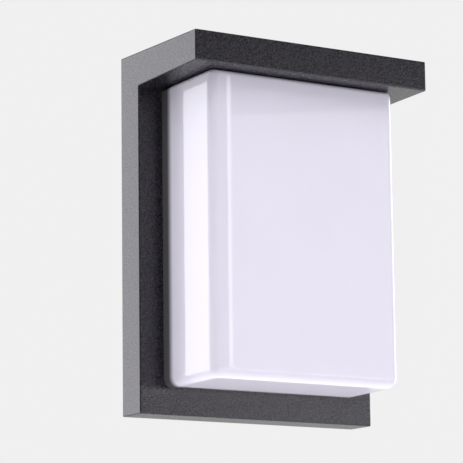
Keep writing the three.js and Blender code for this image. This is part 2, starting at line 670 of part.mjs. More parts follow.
// Routes run from the terminal block or the driver, smooth through hand-chosen points.
const blockTop = BLOCK_TOP - 3.5;
const leadY = DRIVER_BOARD_BACK + 1.7;
const driverEnd = DRIVER_HALF_LENGTH - 1;
const boardLeadY = BOARD_FRONT - GAP - 1.8;
const ROUTES = {
  live_wire: [[POLE_XS[0], POLE_Y, blockTop], [POLE_XS[0], POLE_Y, -1], [-37, -16.5, 9],
    [-50.4, -15, 22], [-52, -15, 38], [-50, -16.5, 50], [-45, leadY, 53.5], [-driverEnd, leadY, 53.5]],
  neutral_wire: [[POLE_XS[1], POLE_Y, blockTop], [POLE_XS[1], POLE_Y, 0], [-31, -16.5, 11],
    [-45.5, -15, 21], [-49, -15, 32], [-48.6, -15.5, 43], [-45.5, leadY + 0.2, 50.2],
    [-driverEnd, leadY, 50.5]],
  earth_wire: [[POLE_XS[2], POLE_Y, blockTop], [POLE_XS[2], POLE_Y, 0], [-6, -16.5, 7],
    [4, -16.5, 0], [7, -17, -14], [9, -18, -26], [11.5, -18.4, -29.6],
    [EARTH_X - 8.2, -18.5, EARTH_Z]],
  led_plus_wire: [[driverEnd, leadY, 53.5], [45, leadY, 53.5], [50, -16.5, 50], [52.6, -15.5, 38],
    [52.4, -16, 24], [51, -20, 14.6], [FEED_X, -26, FEED_Z + 1.6], [FEED_X - 0.5, -30, FEED_Z + 1.6],
    [47.5, boardLeadY, FEED_Z + 1.6], [40.5, boardLeadY, FEED_Z + 1.6]],
  led_minus_wire: [[driverEnd, leadY, 50.5], [45, leadY + 0.2, 50.2], [48.6, -15.5, 43], [49.4, -15.2, 32],
    [49.4, -16, 20], [50.4, -20, 11], [FEED_X, -26, FEED_Z - 1.6], [FEED_X - 0.5, -30, FEED_Z - 1.6],
    [47.5, boardLeadY, FEED_Z - 1.6], [40.5, boardLeadY, FEED_Z - 1.6]],
};


// ---- Rear cover ----

// A countersunk socket screw along Y, flush with the cover's back.
function coverScrew(x, z) {
  const profile = [
    [0, FRAME_BACK - 6.5], [SCREW_RADIUS, FRAME_BACK - 6.5], [SCREW_RADIUS, COVER_BACK - 1.5],
    [SCREW_HEAD_RADIUS, COVER_BACK - 0.2], [SCREW_HEAD_RADIUS, COVER_BACK - 0.05],
    [0, COVER_BACK - 0.05],
  ].map(([r, y]) => new THREE.Vector2(r, y));
  const screw = new THREE.LatheGeometry(profile, SCREW_SIDES);
  screw.translate(x, 0, z);
  return cut(solid(screw), barY(SOCKET_RADIUS, [COVER_BACK - 1, COVER_BACK + 1], x, z, 6));
}

function countersinkY(x, z) {
  const cone = new THREE.CylinderGeometry(SCREW_HEAD_RADIUS + 0.45, SCREW_HOLE, 1.7, SCREW_SIDES);
  cone.translate(x, COVER_BACK - 0.8, z);
  return solid(cone);
}

function rearCover() {
  const plate = plateY(roundedRectangle(FRAME_HALF_WIDTH, FRAME_HALF_HEIGHT, 2),
    [COVER_FRONT, COVER_BACK], FRAME_MIDDLE);
  const through = [COVER_FRONT - 1, COVER_BACK + 1];
  const ribs = [-40, -20, 20, 40].map((x) => block([x - 0.6, x + 0.6],
    [COVER_FRONT - 1.2, COVER_FRONT + OVERLAP], [-78, 20]));
  return cut(joined(plate, ...ribs),
    ...coverScrewPlaces().flatMap(([x, z]) => [barY(SCREW_HOLE, through, x, z, HOLE_SIDES),
      countersinkY(x, z)]),
    barY(7.3, through, 0, CABLE_HOLE_Z, 20),
    barY(3.3, through, 0, VENT_Z));
}

function coverGasket() {
  const depth = [FRAME_BACK + GAP, FRAME_BACK + GAP + COVER_GASKET];
  return frameRing(depth, 0.3);
}

// A ring with a groove round it that grips the cover's edge.
function cableGrommet() {
  const back = COVER_BACK + GAP;
  const front = COVER_FRONT - GAP;
  const profile = [
    [GROMMET_BORE, front - 2], [8.5, front - 2], [9.8, front], [7, front], [7, back],
    [9.6, back], [9.2, back + 0.7], [GROMMET_BORE, back + 0.7], [GROMMET_BORE, front - 2],
  ].map(([r, y]) => new THREE.Vector2(r, y));
  const ring = new THREE.LatheGeometry(profile, 20);
  ring.translate(0, 0, CABLE_HOLE_Z);
  return solid(ring);
}

function ventPlug() {
  const back = COVER_BACK + GAP;
  const plug = joined(barY(6, [back, back + 0.7], 0, VENT_Z, 18),
    barY(3, [COVER_FRONT - 3, back + 0.5], 0, VENT_Z));
  return cut(plug, barY(1.6, [COVER_FRONT - 4, back - 0.4], 0, VENT_Z, HOLE_SIDES));
}

// ---- Wall bracket ----

// The pressed section, drawn in (x, y): flat on the wall, stepped forward at both sides.
function bracketSection() {
  const shape = new THREE.Shape();
  const step = BRACKET_STEP_X;
  const points = [
    [-step, 0], [-step, WING_BACK], [-BRACKET_HALF_WIDTH, WING_BACK],
    [-BRACKET_HALF_WIDTH, WING_FRONT],
    [-step + SHEET, WING_FRONT], [-step + SHEET, -SHEET], [step - SHEET, -SHEET],
    [step - SHEET, WING_FRONT], [BRACKET_HALF_WIDTH, WING_FRONT], [BRACKET_HALF_WIDTH, WING_BACK],
    [step, WING_BACK], [step, 0],
  ];
  shape.setFromPoints(points.map(([x, y]) => new THREE.Vector2(x, y)));
  return shape;
}

function keyhole([x, z]) {
  const depth = [WING_FRONT - 1, WING_BACK + 1];
  const half = STUD_RADIUS + GAP;
  return joined(barY(KEYHOLE_RADIUS, depth, x, z + LIFT), barY(half, depth, x, z),
    block([x - half, x + half], depth, [z, z + LIFT]));
}

function wallBracket() {
  const pressed = new THREE.ExtrudeGeometry(bracketSection(), {
    depth: 2 * BRACKET_HALF_HEIGHT, bevelEnabled: false,
  });
  pressed.translate(0, 0, -BRACKET_HALF_HEIGHT);
  const middle = BRACKET_MIDDLE_HALF_WIDTH;
  const tongue = block([-middle, middle], [-SHEET, 0], [BRACKET_BOTTOM, TAB_TOP]);
  const tabs = [-TAB_X, TAB_X].map((x) => block([x - TAB_WIDTH / 2, x + TAB_WIDTH / 2],
    [-TAB_DEPTH, -SHEET + OVERLAP], [TAB_TOP - SHEET, TAB_TOP]));
  const through = [-SHEET - 1, 1];
  const tabHoles = [-TAB_X, TAB_X].map((x) =>
    barZ(FIXING_RADIUS + GAP, FIXING_RADIUS + GAP, [TAB_TOP - SHEET - 1, TAB_TOP + 1], x, FIXING_Y));
  const wallSlots = [-WALL_SLOT_RADIUS, WALL_SLOT_RADIUS].flatMap((offset) => [
    slot(offset, 0, WALL_SLOT_LENGTH, WALL_SLOT_WIDTH, through),
    slot(0, offset, WALL_SLOT_WIDTH, WALL_SLOT_LENGTH, through),
  ]);
  return cut(joined(solid(pressed), tongue, ...tabs), ...tabHoles, ...wallSlots,
    ...studPlaces().map(keyhole), barY(CABLE_HOLE_RADIUS, through, 0, CABLE_HOLE_Z, 24));
}

// A headed stud, screwed into the tray's boss, that hangs in a keyhole.
function hangingStud(x, z) {
  const head = WING_BACK + GAP;
  const profile = [
    [0, WEB_BACK + 1.5], [STUD_RADIUS, WEB_BACK + 2], [STUD_RADIUS, head],
    [STUD_HEAD_RADIUS, head], [STUD_HEAD_RADIUS, head + 1.8], [STUD_HEAD_RADIUS - 0.7, head + 2.6],
    [0, head + 2.6],
  ].map(([r, y]) => new THREE.Vector2(r, y));
  const stud = new THREE.LatheGeometry(profile, 16);
  stud.translate(x, 0, z);
  const socket = barY(1.45, [head + 1, head + 4], x, z, 6);
  return cut(solid(stud), socket);
}

// A countersunk socket screw along Z, flush with the top face.
function fixingScrew(x) {
  const top = HALF_HEIGHT - 0.1;
  const shank = barZ(FIXING_RADIUS, FIXING_RADIUS, [FIXING_BOTTOM, top - 1], x, FIXING_Y, 16);
  const head = barZ(FIXING_HEAD_RADIUS, FIXING_RADIUS, [top - 1.9, top], x, FIXING_Y, 18);
  const socket = barZ(1.45, 1.45, [top - 1.6, top + 1], x, FIXING_Y, 6);
  return cut(joined(shank, head), socket);
}

// ---- Assembly ----

const lantern = new THREE.Group();
lantern.name = 'outdoor_wall_lantern';

function place(name, body, material) {
  const mesh = new THREE.Mesh(geometryOf(body), material);
  mesh.name = name;
  lantern.add(mesh);
}

place('housing', housing(), FINISH.powderCoat);
place('diffuser', diffuser(), FINISH.opal);
place('diffuser_gasket', gasketRing(0, [TRAY_FACE, TRAY_FACE + 1.3]), FINISH.silicone);
lugPlaces().forEach(([x, z], i) => place(`diffuser_screw_${i + 1}`,
  panScrew(x, z, WEB_BACK + GAP, DIFFUSER_REAR - 8), FINISH.screwSteel));

place('thermal_pad', boardPlate(BOARD_HALF_WIDTH - 1, BOARD_HALF_HEIGHT - 1,
  [PAD_FRONT, PLINTH_FACE - GAP]), FINISH.heatPad);
place('led_board', boardPlate(BOARD_HALF_WIDTH, BOARD_HALF_HEIGHT, [BOARD_FRONT, BOARD_BACK]),
  FINISH.boardWhite);
for (let row = 0; row < 5; row += 1) {
  const z = BOARD_Z + (row - 2) * LED_ROW_PITCH;
  [-LED_COLUMN_X, LED_COLUMN_X].forEach((x, column) =>
    place(`led_${row * 2 + column + 1}`, led(x, z), FINISH.phosphor));
}
place('board_connector', boardConnector(), FINISH.whiteNylon);
boardScrewPlaces().forEach(([x, z], i) => place(`board_screw_${i + 1}`,
  panScrew(x, z, BOARD_FRONT - GAP, PLINTH_BACK - GAP), FINISH.screwSteel));

place('driver_base', driverBase(), FINISH.whiteNylon);
place('driver_lid', driverLid(), FINISH.whiteNylon);
place('driver_circuit_board', driverCircuitBoard(), FINISH.circuitGreen);
place('driver_transformer', driverTransformer(), FINISH.ferrite);
place('driver_capacitor', driverCapacitor(), FINISH.capacitorBlack);
[-DRIVER_EAR_X, DRIVER_EAR_X].forEach((x, i) => place(`driver_screw_${i + 1}`,
  panScrew(x, DRIVER_EAR_Z, DRIVER_FRONT + 3 + GAP, PLINTH_BACK - 1), FINISH.screwSteel));

place('terminal_block', terminalBlock(), FINISH.whiteNylon);
POLE_XS.forEach((x, i) => place(`terminal_screw_${i + 1}`, terminalScrew(x), FINISH.tinnedBrass));
place('earth_ring_tag', earthRingTag(), FINISH.tinnedBrass);
place('earth_screw', panScrew(EARTH_X, EARTH_Z, PLINTH_BACK + 4 + 2 * GAP + 0.8, PLINTH_BACK - 0.8,
  STUD_RADIUS, 3.6), FINISH.screwSteel);
const WIRE_FINISH = {
  live_wire: FINISH.brownWire,
  neutral_wire: FINISH.blueWire,
  earth_wire: FINISH.earthWire,
  led_plus_wire: FINISH.redWire,
  led_minus_wire: FINISH.blackWire,
};
Object.entries(ROUTES).forEach(([name, points]) =>
  place(name, wireAlong(points), WIRE_FINISH[name]));

place('cover_gasket', coverGasket(), FINISH.silicone);
place('rear_cover', rearCover(), FINISH.blackPlastic);
coverScrewPlaces().forEach(([x, z], i) => place(`cover_screw_${i + 1}`, coverScrew(x, z),
  FINISH.screwSteel));
place('cable_grommet', cableGrommet(), FINISH.rubber);
place('vent_plug', ventPlug(), FINISH.whiteNylon);

place('wall_bracket', wallBracket(), FINISH.galvanised);
studPlaces().forEach(([x, z], i) => place(`hanging_stud_${i + 1}`, hangingStud(x, z),
  FINISH.screwSteel));
place('fixing_screw_left', fixingScrew(-TAB_X), FINISH.screwSteel);
place('fixing_screw_right', fixingScrew(TAB_X), FINISH.screwSteel);

export default lantern;
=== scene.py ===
# Outdoor wall lantern. One powder-coated die casting, an upside-down L from the side, holds
# an opal diffuser under its deep visor. The LED board, driver and wiring are inside, and a
# galvanised bracket behind carries it on the wall.
# Metres, +Z up. The wall is the plane y = 0 and the lantern faces -Y.

import json

import bmesh
import bpy
import numpy as np
from mathutils import Matrix, Vector


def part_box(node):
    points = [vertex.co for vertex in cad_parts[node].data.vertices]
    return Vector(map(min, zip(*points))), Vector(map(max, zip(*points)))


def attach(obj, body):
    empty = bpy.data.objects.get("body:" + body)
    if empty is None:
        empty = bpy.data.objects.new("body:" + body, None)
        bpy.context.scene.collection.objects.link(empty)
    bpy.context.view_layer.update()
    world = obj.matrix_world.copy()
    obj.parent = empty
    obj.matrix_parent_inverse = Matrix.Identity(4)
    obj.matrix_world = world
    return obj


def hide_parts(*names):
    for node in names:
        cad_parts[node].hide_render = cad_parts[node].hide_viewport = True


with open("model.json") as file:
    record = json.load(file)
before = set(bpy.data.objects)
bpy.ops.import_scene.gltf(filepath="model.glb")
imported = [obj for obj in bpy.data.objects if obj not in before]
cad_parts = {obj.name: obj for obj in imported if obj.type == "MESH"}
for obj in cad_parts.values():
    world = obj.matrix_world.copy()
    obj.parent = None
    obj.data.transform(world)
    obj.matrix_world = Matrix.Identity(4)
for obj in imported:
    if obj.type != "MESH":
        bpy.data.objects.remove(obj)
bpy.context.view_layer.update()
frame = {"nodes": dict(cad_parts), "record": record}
nodes = frame["nodes"]
slotOf = {part["node"]: part["material_slot"] for part in frame["record"]["subparts"]}
bodyOf = {node: body for body, members in frame["record"]["behaviour"]["bodies"].items()
          for node in members}
mm = 0.001
print("frame loaded:", len(nodes), "CAD pieces")


# Camera, light and floor

camera = {
    "place": (-0.80126, -1.24850, -0.25581),
    "azimuth": -32.55,  # degrees round the lantern, 0 is straight in front
    "elevation": -10.122,
    "roll": -0.701,
    "lens": 207.05,
    "sensorMm": 36,
    "nearest": 0.02,
}
studio = {
    "surround": 0.871,  # brightness of the pale room that the camera sees
    "fill": 0.05,  # the even part of the light that comes from it
    "floorHeight": -1.3,
    "floorSize": 12.0,
    "floorColours": ("#efefee", "#f4f4f3"),
    "mottlePerMetre": 3,
}
# Brighter stretches of the room: the middle's azimuth and elevation, how far it reaches in
# degrees, and its brightness.
glows = {
    "overhead": {"towards": (0, 80), "reach": 70, "strength": 0.15},
    "frontHigh": {"towards": (-12, 60), "reach": 38, "strength": 2.9},
    "frontLow": {"towards": (-50, 0), "reach": 38, "strength": 0.25},
    "leftHigh": {"towards": (-105, 50), "reach": 38, "strength": 1.5},
    "right": {"towards": (95, 0), "reach": 38, "strength": 1.5},
    "backRight": {"towards": (145, 0), "reach": 50, "strength": 0.4},
    "backLeft": {"towards": (-150, 0), "reach": 40, "strength": 0.9},
}
panels = {
    "sidePanel": {"place": (-1.1, 1.65, 0.2), "size": (0.95, 1.5), "radiance": 2.75,
                  "colour": (0.96, 0.94, 1.0)},
    "frontPanel": {"place": (1.853, -2.213, 0.1), "size": (0.9, 1.2), "radiance": 1.4},
    "stripPanel": {"place": (1.181, -2.0, 0.1), "size": (0.0055, 1.2), "radiance": 5.0},
    "lowPanel": {"place": (1.75, -2.0, -0.12), "size": (1.7, 0.32), "radiance": 4.4,
                 "colour": (0.96, 0.93, 1.0)},
    "edgePanel": {"place": (1.9, 0.4, 0.2), "size": (0.9, 1.6), "radiance": 2.8},
    "belowPanel": {"place": (0, 0.2, -1.25), "size": (2.2, 2.2), "radiance": 0.33,
                   "aim": (0, 0.2, 0)},
    "floorPanel": {"place": (0, 0, -1.0), "size": (7, 7), "radiance": 0.16,
                   "aim": (0, 0, -2)},
}


def addCamera(settings):
    azimuth, elevation, roll = (np.radians(settings[key])
                                for key in ("azimuth", "elevation", "roll"))
    back = np.array([np.sin(azimuth) * np.cos(elevation),
                     -np.cos(azimuth) * np.cos(elevation), np.sin(elevation)])
    right = np.cross([0, 0, 1], back)
    right /= np.linalg.norm(right)
    up = np.cross(back, right)
    axes = np.array([np.cos(roll) * right + np.sin(roll) * up,
                     np.cos(roll) * up - np.sin(roll) * right, back])
    data = bpy.data.cameras.new("camera")
    data.lens = settings["lens"]
    data.sensor_width = settings["sensorMm"]
    data.clip_start = settings["nearest"]
    view = bpy.data.objects.new("camera", data)
    bpy.context.scene.collection.objects.link(view)
    view.matrix_world = Matrix.Translation(settings["place"]) @ Matrix(axes.T.tolist()).to_4x4()
    bpy.context.scene.camera = view


def addPanel(name, settings):
    # An area light that faces the lantern; its power is radiance times pi times its area.
    width, height = settings["size"]
    data = bpy.data.lights.new(name, "AREA")
    data.shape = "RECTANGLE"
    data.size, data.size_y = width, height
    data.energy = settings["radiance"] * np.pi * width * height
    data.color = settings.get("colour", (1, 1, 1))
    light = bpy.data.objects.new(name, data)
    bpy.context.scene.collection.objects.link(light)
    place = Vector(settings["place"])
    away = (place - Vector(settings.get("aim", (0, 0, 0)))).normalized()
    isVertical = abs(away.z) > 0.99
    side = Vector((0, 1, 0) if isVertical else (0, 0, 1)).cross(away).normalized()
    turn = Matrix((side, away.cross(side), away)).transposed()
    light.matrix_world = Matrix.Translation(place) @ turn.to_4x4()
    light.visible_camera = False


def linearColour(hexText):
    # sRGB to linear: small values over 12.92, the others ((v + 0.055) / 1.055) to the 2.4.
    value = np.array([int(hexText[i:i + 2], 16) for i in (1, 3, 5)]) / 255
    linear = np.where(value <= 0.04045, value / 12.92, ((value + 0.055) / 1.055) ** 2.4)
    return (*linear.tolist(), 1.0)


def feed(tree, node, inputs):
    # Sets a node's inputs: each is a value, or a socket to link.
    for socket, value in inputs.items():
        if isinstance(value, bpy.types.NodeSocket):
            tree.links.new(value, node.inputs[socket])
        else:
            node.inputs[socket].default_value = value


def addNode(tree, kind, inputs=None, **settings):
    # One shader node, with its inputs, and its properties as settings.
    node = tree.nodes.new(kind)
    for key, value in settings.items():
        setattr(node, key, value)
    feed(tree, node, inputs or {})
    return node


def newMaterial(name, inputs):
    # A material with one Principled shader, and its first inputs.
    material = bpy.data.materials.new(name)
    material.use_nodes = True
    tree = material.node_tree
    shader = tree.nodes["Principled BSDF"]
    feed(tree, shader, inputs)
    return material, tree, shader


def colourEnds(pair):
    # The two colours of a mix, as its inputs.
    return {6: linearColour(pair[0]), 7: linearColour(pair[1])}


def span(which, pair):
    # The two ends of a mapped range, as its inputs: which is From or To.
    return {f"{which} Min": pair[0], f"{which} Max": pair[1]}


def towards(azimuthDegrees, elevationDegrees):
    azimuth, elevation = np.radians([azimuthDegrees, elevationDegrees])
    return (np.sin(azimuth) * np.cos(elevation), -np.cos(azimuth) * np.cos(elevation),
            np.sin(elevation))


def addRoomLight(tree):
    # The camera sees an even room. The light from it is the fill plus each glow, which
    # fades smoothly from its middle to its reach.
    direction = addNode(tree, "ShaderNodeTexCoord").outputs["Object"]
    light = studio["fill"]
    for name, glow in glows.items():
        facing = addNode(tree, "ShaderNodeVectorMath", {0: direction, 1: towards(
            *glow["towards"])}, operation="DOT_PRODUCT")
        glowing = addNode(tree, "ShaderNodeMapRange", {
            "Value": facing.outputs["Value"], "From Min": np.cos(np.radians(glow["reach"])),
            "From Max": 1, "To Min": 0, "To Max": glow["strength"]},
            interpolation_type="SMOOTHSTEP", name=name)
        light = addNode(tree, "ShaderNodeMath", {0: light, 1: glowing.outputs[0]},
                        operation="ADD").outputs[0]
    seen = addNode(tree, "ShaderNodeLightPath").outputs["Is Camera Ray"]
    strength = addNode(tree, "ShaderNodeMix", {0: seen, 2: light, 3: studio["surround"]})
    feed(tree, tree.nodes["Background"], {
        "Color": (1, 1, 1, 1), "Strength": strength.outputs[0]})


def addStudio():
    world = bpy.data.worlds.new("paleRoom")
    world.use_nodes = True
    addRoomLight(world.node_tree)
    bpy.context.scene.world = world
    bpy.context.scene.view_settings.view_transform = "Standard"
    half = studio["floorSize"] / 2
    mesh = bpy.data.meshes.new("floor")
    corners = [(-half, -half), (half, -half), (half, half), (-half, half)]
    mesh.from_pydata([(x, y, studio["floorHeight"]) for x, y in corners], [], [(0, 1, 2, 3)])
    floor = bpy.data.objects.new("floor", mesh)
    bpy.context.scene.collection.objects.link(floor)
    material, tree, shader = newMaterial("palePaint", {"Roughness": 0.9})
    place = addNode(tree, "ShaderNodeTexCoord")
    mottle = addNode(tree, "ShaderNodeTexNoise", {
        "Vector": place.outputs["Object"], "Scale": studio["mottlePerMetre"]})
    colour = addNode(tree, "ShaderNodeMix", {
        0: mottle.outputs["Fac"], **colourEnds(studio["floorColours"])}, data_type="RGBA")
    feed(tree, shader, {"Base Color": colour.outputs[2]})
    mesh.materials.append(material)


addCamera(camera)
for panelName, panelSettings in panels.items():
    addPanel(panelName, panelSettings)
addStudio()
print("camera, light and floor ready")


# Materials

noiseSpan = span("From", (0.3, 0.7))  # where most of a noise's values lie


def mottled(name, look):
    # The finish of a plain part: two close colours and two roughnesses, mixed by a noise of
    # patternMm, and a finer noise of grainMm that stands proud by bumpMm.
    material, tree, shader = newMaterial(name, {
        "Metallic": look.get("metallic", 0), **look.get("shader", {})})
    place = addNode(tree, "ShaderNodeTexCoord").outputs["Object"]
    pattern = addNode(tree, "ShaderNodeTexNoise", {
        "Vector": place, "Scale": 1 / (look["patternMm"] * mm), "Detail": 3})
    colour = addNode(tree, "ShaderNodeMix", {
        0: pattern.outputs["Fac"], **colourEnds(look["colours"])}, data_type="RGBA")
    rough = addNode(tree, "ShaderNodeMapRange", {
        "Value": pattern.outputs["Fac"], **noiseSpan, **span("To", look["roughness"])})
    grain = addNode(tree, "ShaderNodeTexNoise", {
        "Vector": place, "Scale": 1 / (look["grainMm"] * mm), "Detail": 2})
    bump = addNode(tree, "ShaderNodeBump", {
        "Height": grain.outputs["Fac"], "Distance": look["bumpMm"] * mm, "Strength": 1.0})
    feed(tree, shader, {"Base Color": colour.outputs[2], "Roughness": rough.outputs[0],
                        "Normal": bump.outputs["Normal"]})
    return material


# Polyester powder coat with a fine structure, sprayed and baked on the aluminium casting: a
# nearly black film whose small rounded bumps each catch a point of light. The tops of the
# higher bumps are painted lighter, a painted highlight for that light.
powderCoatLook = {
    # the coat's dark colour, and the lighter one of the painted highlights on the bumps
    "colours": ("#08070a", "#38353f"),
    "roughness": (0.24, 0.34),
    "lumpMm": 1.2,  # the spacing of the bumps
    "fineMm": 0.7,
    "fineShare": 0.35,
    "glintHeightsFrom": (0.38, 0.64),  # the bumps' span of heights over which the painted highlight grows
    "heightMm": 0.1,  # prouder than a real coat's, so that the grain shows
    "sideShare": 0.12,  # the grain left on the two sides, where it is drawn fainter than real
    "sidewaysFrom": (0.5, 0.9),  # how far a face looks sideways for its grain to fade
}


def powderCoatMaterial(look):
    material, tree, shader = newMaterial("polyesterPowderCoat", {"IOR": 1.52})
    coordinates = addNode(tree, "ShaderNodeTexCoord")
    place = coordinates.outputs["Object"]
    lumps = addNode(tree, "ShaderNodeTexNoise", {
        "Vector": place, "Scale": 1 / (look["lumpMm"] * mm), "Detail": 2, "Roughness": 0.6})
    fine = addNode(tree, "ShaderNodeTexNoise", {
        "Vector": place, "Scale": 1 / (look["fineMm"] * mm), "Detail": 1})
    height = addNode(tree, "ShaderNodeMath", {
        0: fine.outputs["Fac"], 1: look["fineShare"], 2: lumps.outputs["Fac"]},
        operation="MULTIPLY_ADD")
    facing = addNode(tree, "ShaderNodeSeparateXYZ", {0: coordinates.outputs["Normal"]})
    sideways = addNode(tree, "ShaderNodeMath", {0: facing.outputs["X"]}, operation="ABSOLUTE")
    strength = addNode(tree, "ShaderNodeMapRange", {
        "Value": sideways.outputs[0], **span("From", look["sidewaysFrom"]),
        **span("To", (1, look["sideShare"]))})
    bump = addNode(tree, "ShaderNodeBump", {
        "Height": height.outputs[0], "Distance": look["heightMm"] * mm,
        "Strength": strength.outputs[0]})
    # Painted highlights: the higher a bump, the lighter its colour, standing for the light it
    # catches.
    paintedGlints = addNode(tree, "ShaderNodeMapRange", {
        "Value": lumps.outputs["Fac"], **span("From", look["glintHeightsFrom"]),
        **span("To", (-0.5, 0.5))})
    share = addNode(tree, "ShaderNodeMath", {
        0: paintedGlints.outputs[0], 1: strength.outputs[0], 2: 0.5}, operation="MULTIPLY_ADD")
    colour = addNode(tree, "ShaderNodeMix", {
        0: share.outputs[0], **colourEnds(look["colours"])}, data_type="RGBA")
    rough = addNode(tree, "ShaderNodeMapRange", {
        "Value": fine.outputs["Fac"], **noiseSpan, **span("To", look["roughness"])})
    feed(tree, shader, {"Base Color": colour.outputs[2], "Roughness": rough.outputs[0],
                        "Normal": bump.outputs["Normal"]})
    return material


# Opal polycarbonate, injection moulded and polished: milky right through. Towards the rim its
# colour darkens: painted shade where it meets the dark casting, partly standing for the dark
# tray seen through the opal.
opalLook = {
    "index": 1.44,  # below the real 1.58, so that the reflections stay as faint as they look
    "clear": "#efebfb",
    # the colour of the painted shade at the rim
    "rim": "#57565b",
    "rimMm": (10.5, 4.5),  # how far from the rim the painted shade starts and is darkest
    "roughness": (0.008, 0.016),
    "flowMm": 35,
    "flowShade": 0.04,
}


def opalMaterial(look, rimY):
    # The painted rim shade, with the faint flow of the melt added to it, mixes the two colours.
    material, tree, shader = newMaterial("opalPolycarbonate", {"IOR": look["index"]})
    place = addNode(tree, "ShaderNodeTexCoord").outputs["Object"]
    apart = addNode(tree, "ShaderNodeSeparateXYZ", {0: place})
    reach = addNode(tree, "ShaderNodeMapRange", {
        "Value": apart.outputs["Y"], "From Min": rimY - look["rimMm"][0] * mm,
        "From Max": rimY - look["rimMm"][1] * mm, "To Min": 0, "To Max": 1},
        interpolation_type="SMOOTHSTEP")
    flow = addNode(tree, "ShaderNodeTexNoise", {
        "Vector": place, "Scale": 1 / (look["flowMm"] * mm), "Detail": 1})
    shade = addNode(tree, "ShaderNodeMath", {
        0: flow.outputs["Fac"], 1: look["flowShade"], 2: reach.outputs[0]},
        operation="MULTIPLY_ADD", use_clamp=True)
    colour = addNode(tree, "ShaderNodeMix", {
        0: shade.outputs[0], 6: linearColour(look["clear"]),
        7: linearColour(look["rim"])}, data_type="RGBA")
    rough = addNode(tree, "ShaderNodeMapRange", {
        "Value": flow.outputs["Fac"], **span("To", look["roughness"])})
    feed(tree, shader, {"Base Color": colour.outputs[2], "Roughness": rough.outputs[0]})
    return material


# Hot-dip galvanised steel sheet: zinc crystals of a few millimetres, each at its own tilt,
# so that neighbours look lighter and darker.
galvanisedLook = {
    "colours": ("#8b9094", "#b0b4b7"),
    "crystalMm": 5.5,
    "waverMm": 3,  # the spacing of the bends in the crystals' edges
    "waverShare": 0.0025,
    "roughness": (0.36, 0.52),
    "fineMm": 0.5,
    "heightMm": 0.006,
}


def galvanisedMaterial(look):
    material, tree, shader = newMaterial("galvanisedSheet", {"Metallic": 1.0})
    place = addNode(tree, "ShaderNodeTexCoord").outputs["Object"]
    waver = addNode(tree, "ShaderNodeTexNoise", {
        "Vector": place, "Scale": 1 / (look["waverMm"] * mm)})
    bent = addNode(tree, "ShaderNodeMix", {
        0: look["waverShare"], 4: place, 5: waver.outputs["Color"]}, data_type="VECTOR")
    crystals = addNode(tree, "ShaderNodeTexVoronoi", {
        "Vector": bent.outputs[1], "Scale": 1 / (look["crystalMm"] * mm)})
    value = addNode(tree, "ShaderNodeSeparateColor", {0: crystals.outputs["Color"]})
    fine = addNode(tree, "ShaderNodeTexNoise", {
        "Vector": place, "Scale": 1 / (look["fineMm"] * mm), "Detail": 3})
    colour = addNode(tree, "ShaderNodeMix", {
        0: value.outputs["Red"], **colourEnds(look["colours"])}, data_type="RGBA")
    rough = addNode(tree, "ShaderNodeMapRange", {
        "Value": value.outputs["Green"], **span("To", look["roughness"])})
    bump = addNode(tree, "ShaderNodeBump", {
        "Height": fine.outputs["Fac"], "Distance": look["heightMm"] * mm, "Strength": 1.0})
    feed(tree, shader, {"Base Color": colour.outputs[2], "Roughness": rough.outputs[0],
                        "Normal": bump.outputs["Normal"]})
    return material


# Solder mask, a thin glossy lacquer over areas of copper: the gaps between them show as
# faint lines. On the white board these run under the rows of diodes, which bridge them.
weave = {"spacingMm": 0.9, "heightMm": 0.01}  # of the cloth inside, felt through the mask
boardLooks = {
    "led_board_white": {"name": "whiteSolderMask", "mask": "#efefeb", "gap": "#dcded6",
                        "areaMm": (44, 22), "gapMm": 0.5, "shiftMm": 2, "stagger": 0},
    "circuit_board_green": {"name": "greenSolderMask", "mask": "#2c6a3c", "gap": "#4a8a52",
                            "areaMm": (4.6, 1.9), "gapMm": 0.14, "shiftMm": 0,
                            "stagger": 0.37},
}


def boardMaterial(look):
    material, tree, shader = newMaterial(look["name"], {"IOR": 1.52, "Roughness": 0.3})
    mask, (width, height) = linearColour(look["mask"]), look["areaMm"]
    place = addNode(tree, "ShaderNodeTexCoord").outputs["Object"]
    turn = addNode(tree, "ShaderNodeMapping", {
        "Vector": place, "Rotation": (np.pi / 2, 0, 0),
        "Location": (0, -look["shiftMm"] * mm, 0)})
    areas = addNode(tree, "ShaderNodeTexBrick", {
        "Vector": turn.outputs[0], "Color1": mask, "Color2": mask,
        "Mortar": linearColour(look["gap"]), "Scale": 1 / (height * mm), "Row Height": 1,
        "Brick Width": width / height, "Mortar Size": look["gapMm"] / height},
        offset=look["stagger"])
    cloth = addNode(tree, "ShaderNodeTexNoise", {
        "Vector": place, "Scale": 1 / (weave["spacingMm"] * mm)})
    bump = addNode(tree, "ShaderNodeBump", {
        "Height": cloth.outputs["Fac"], "Distance": weave["heightMm"] * mm, "Strength": 1.0})
    feed(tree, shader, {"Base Color": areas.outputs["Color"],
                        "Normal": bump.outputs["Normal"]})
    return material


# Moulded white resin round a well of phosphor in silicone: the yellow that a white LED shows
# when it is off. The chart's first share says which is which.
ledLook = {
    "package": "#eeede8",
    "phosphor": ("#e8c63c", "#f3d766"),
    "phosphorFrom": 7 / 15,  # the phosphor is the last 8 of a package's 15 rows
    "speckMm": 0.3,
}


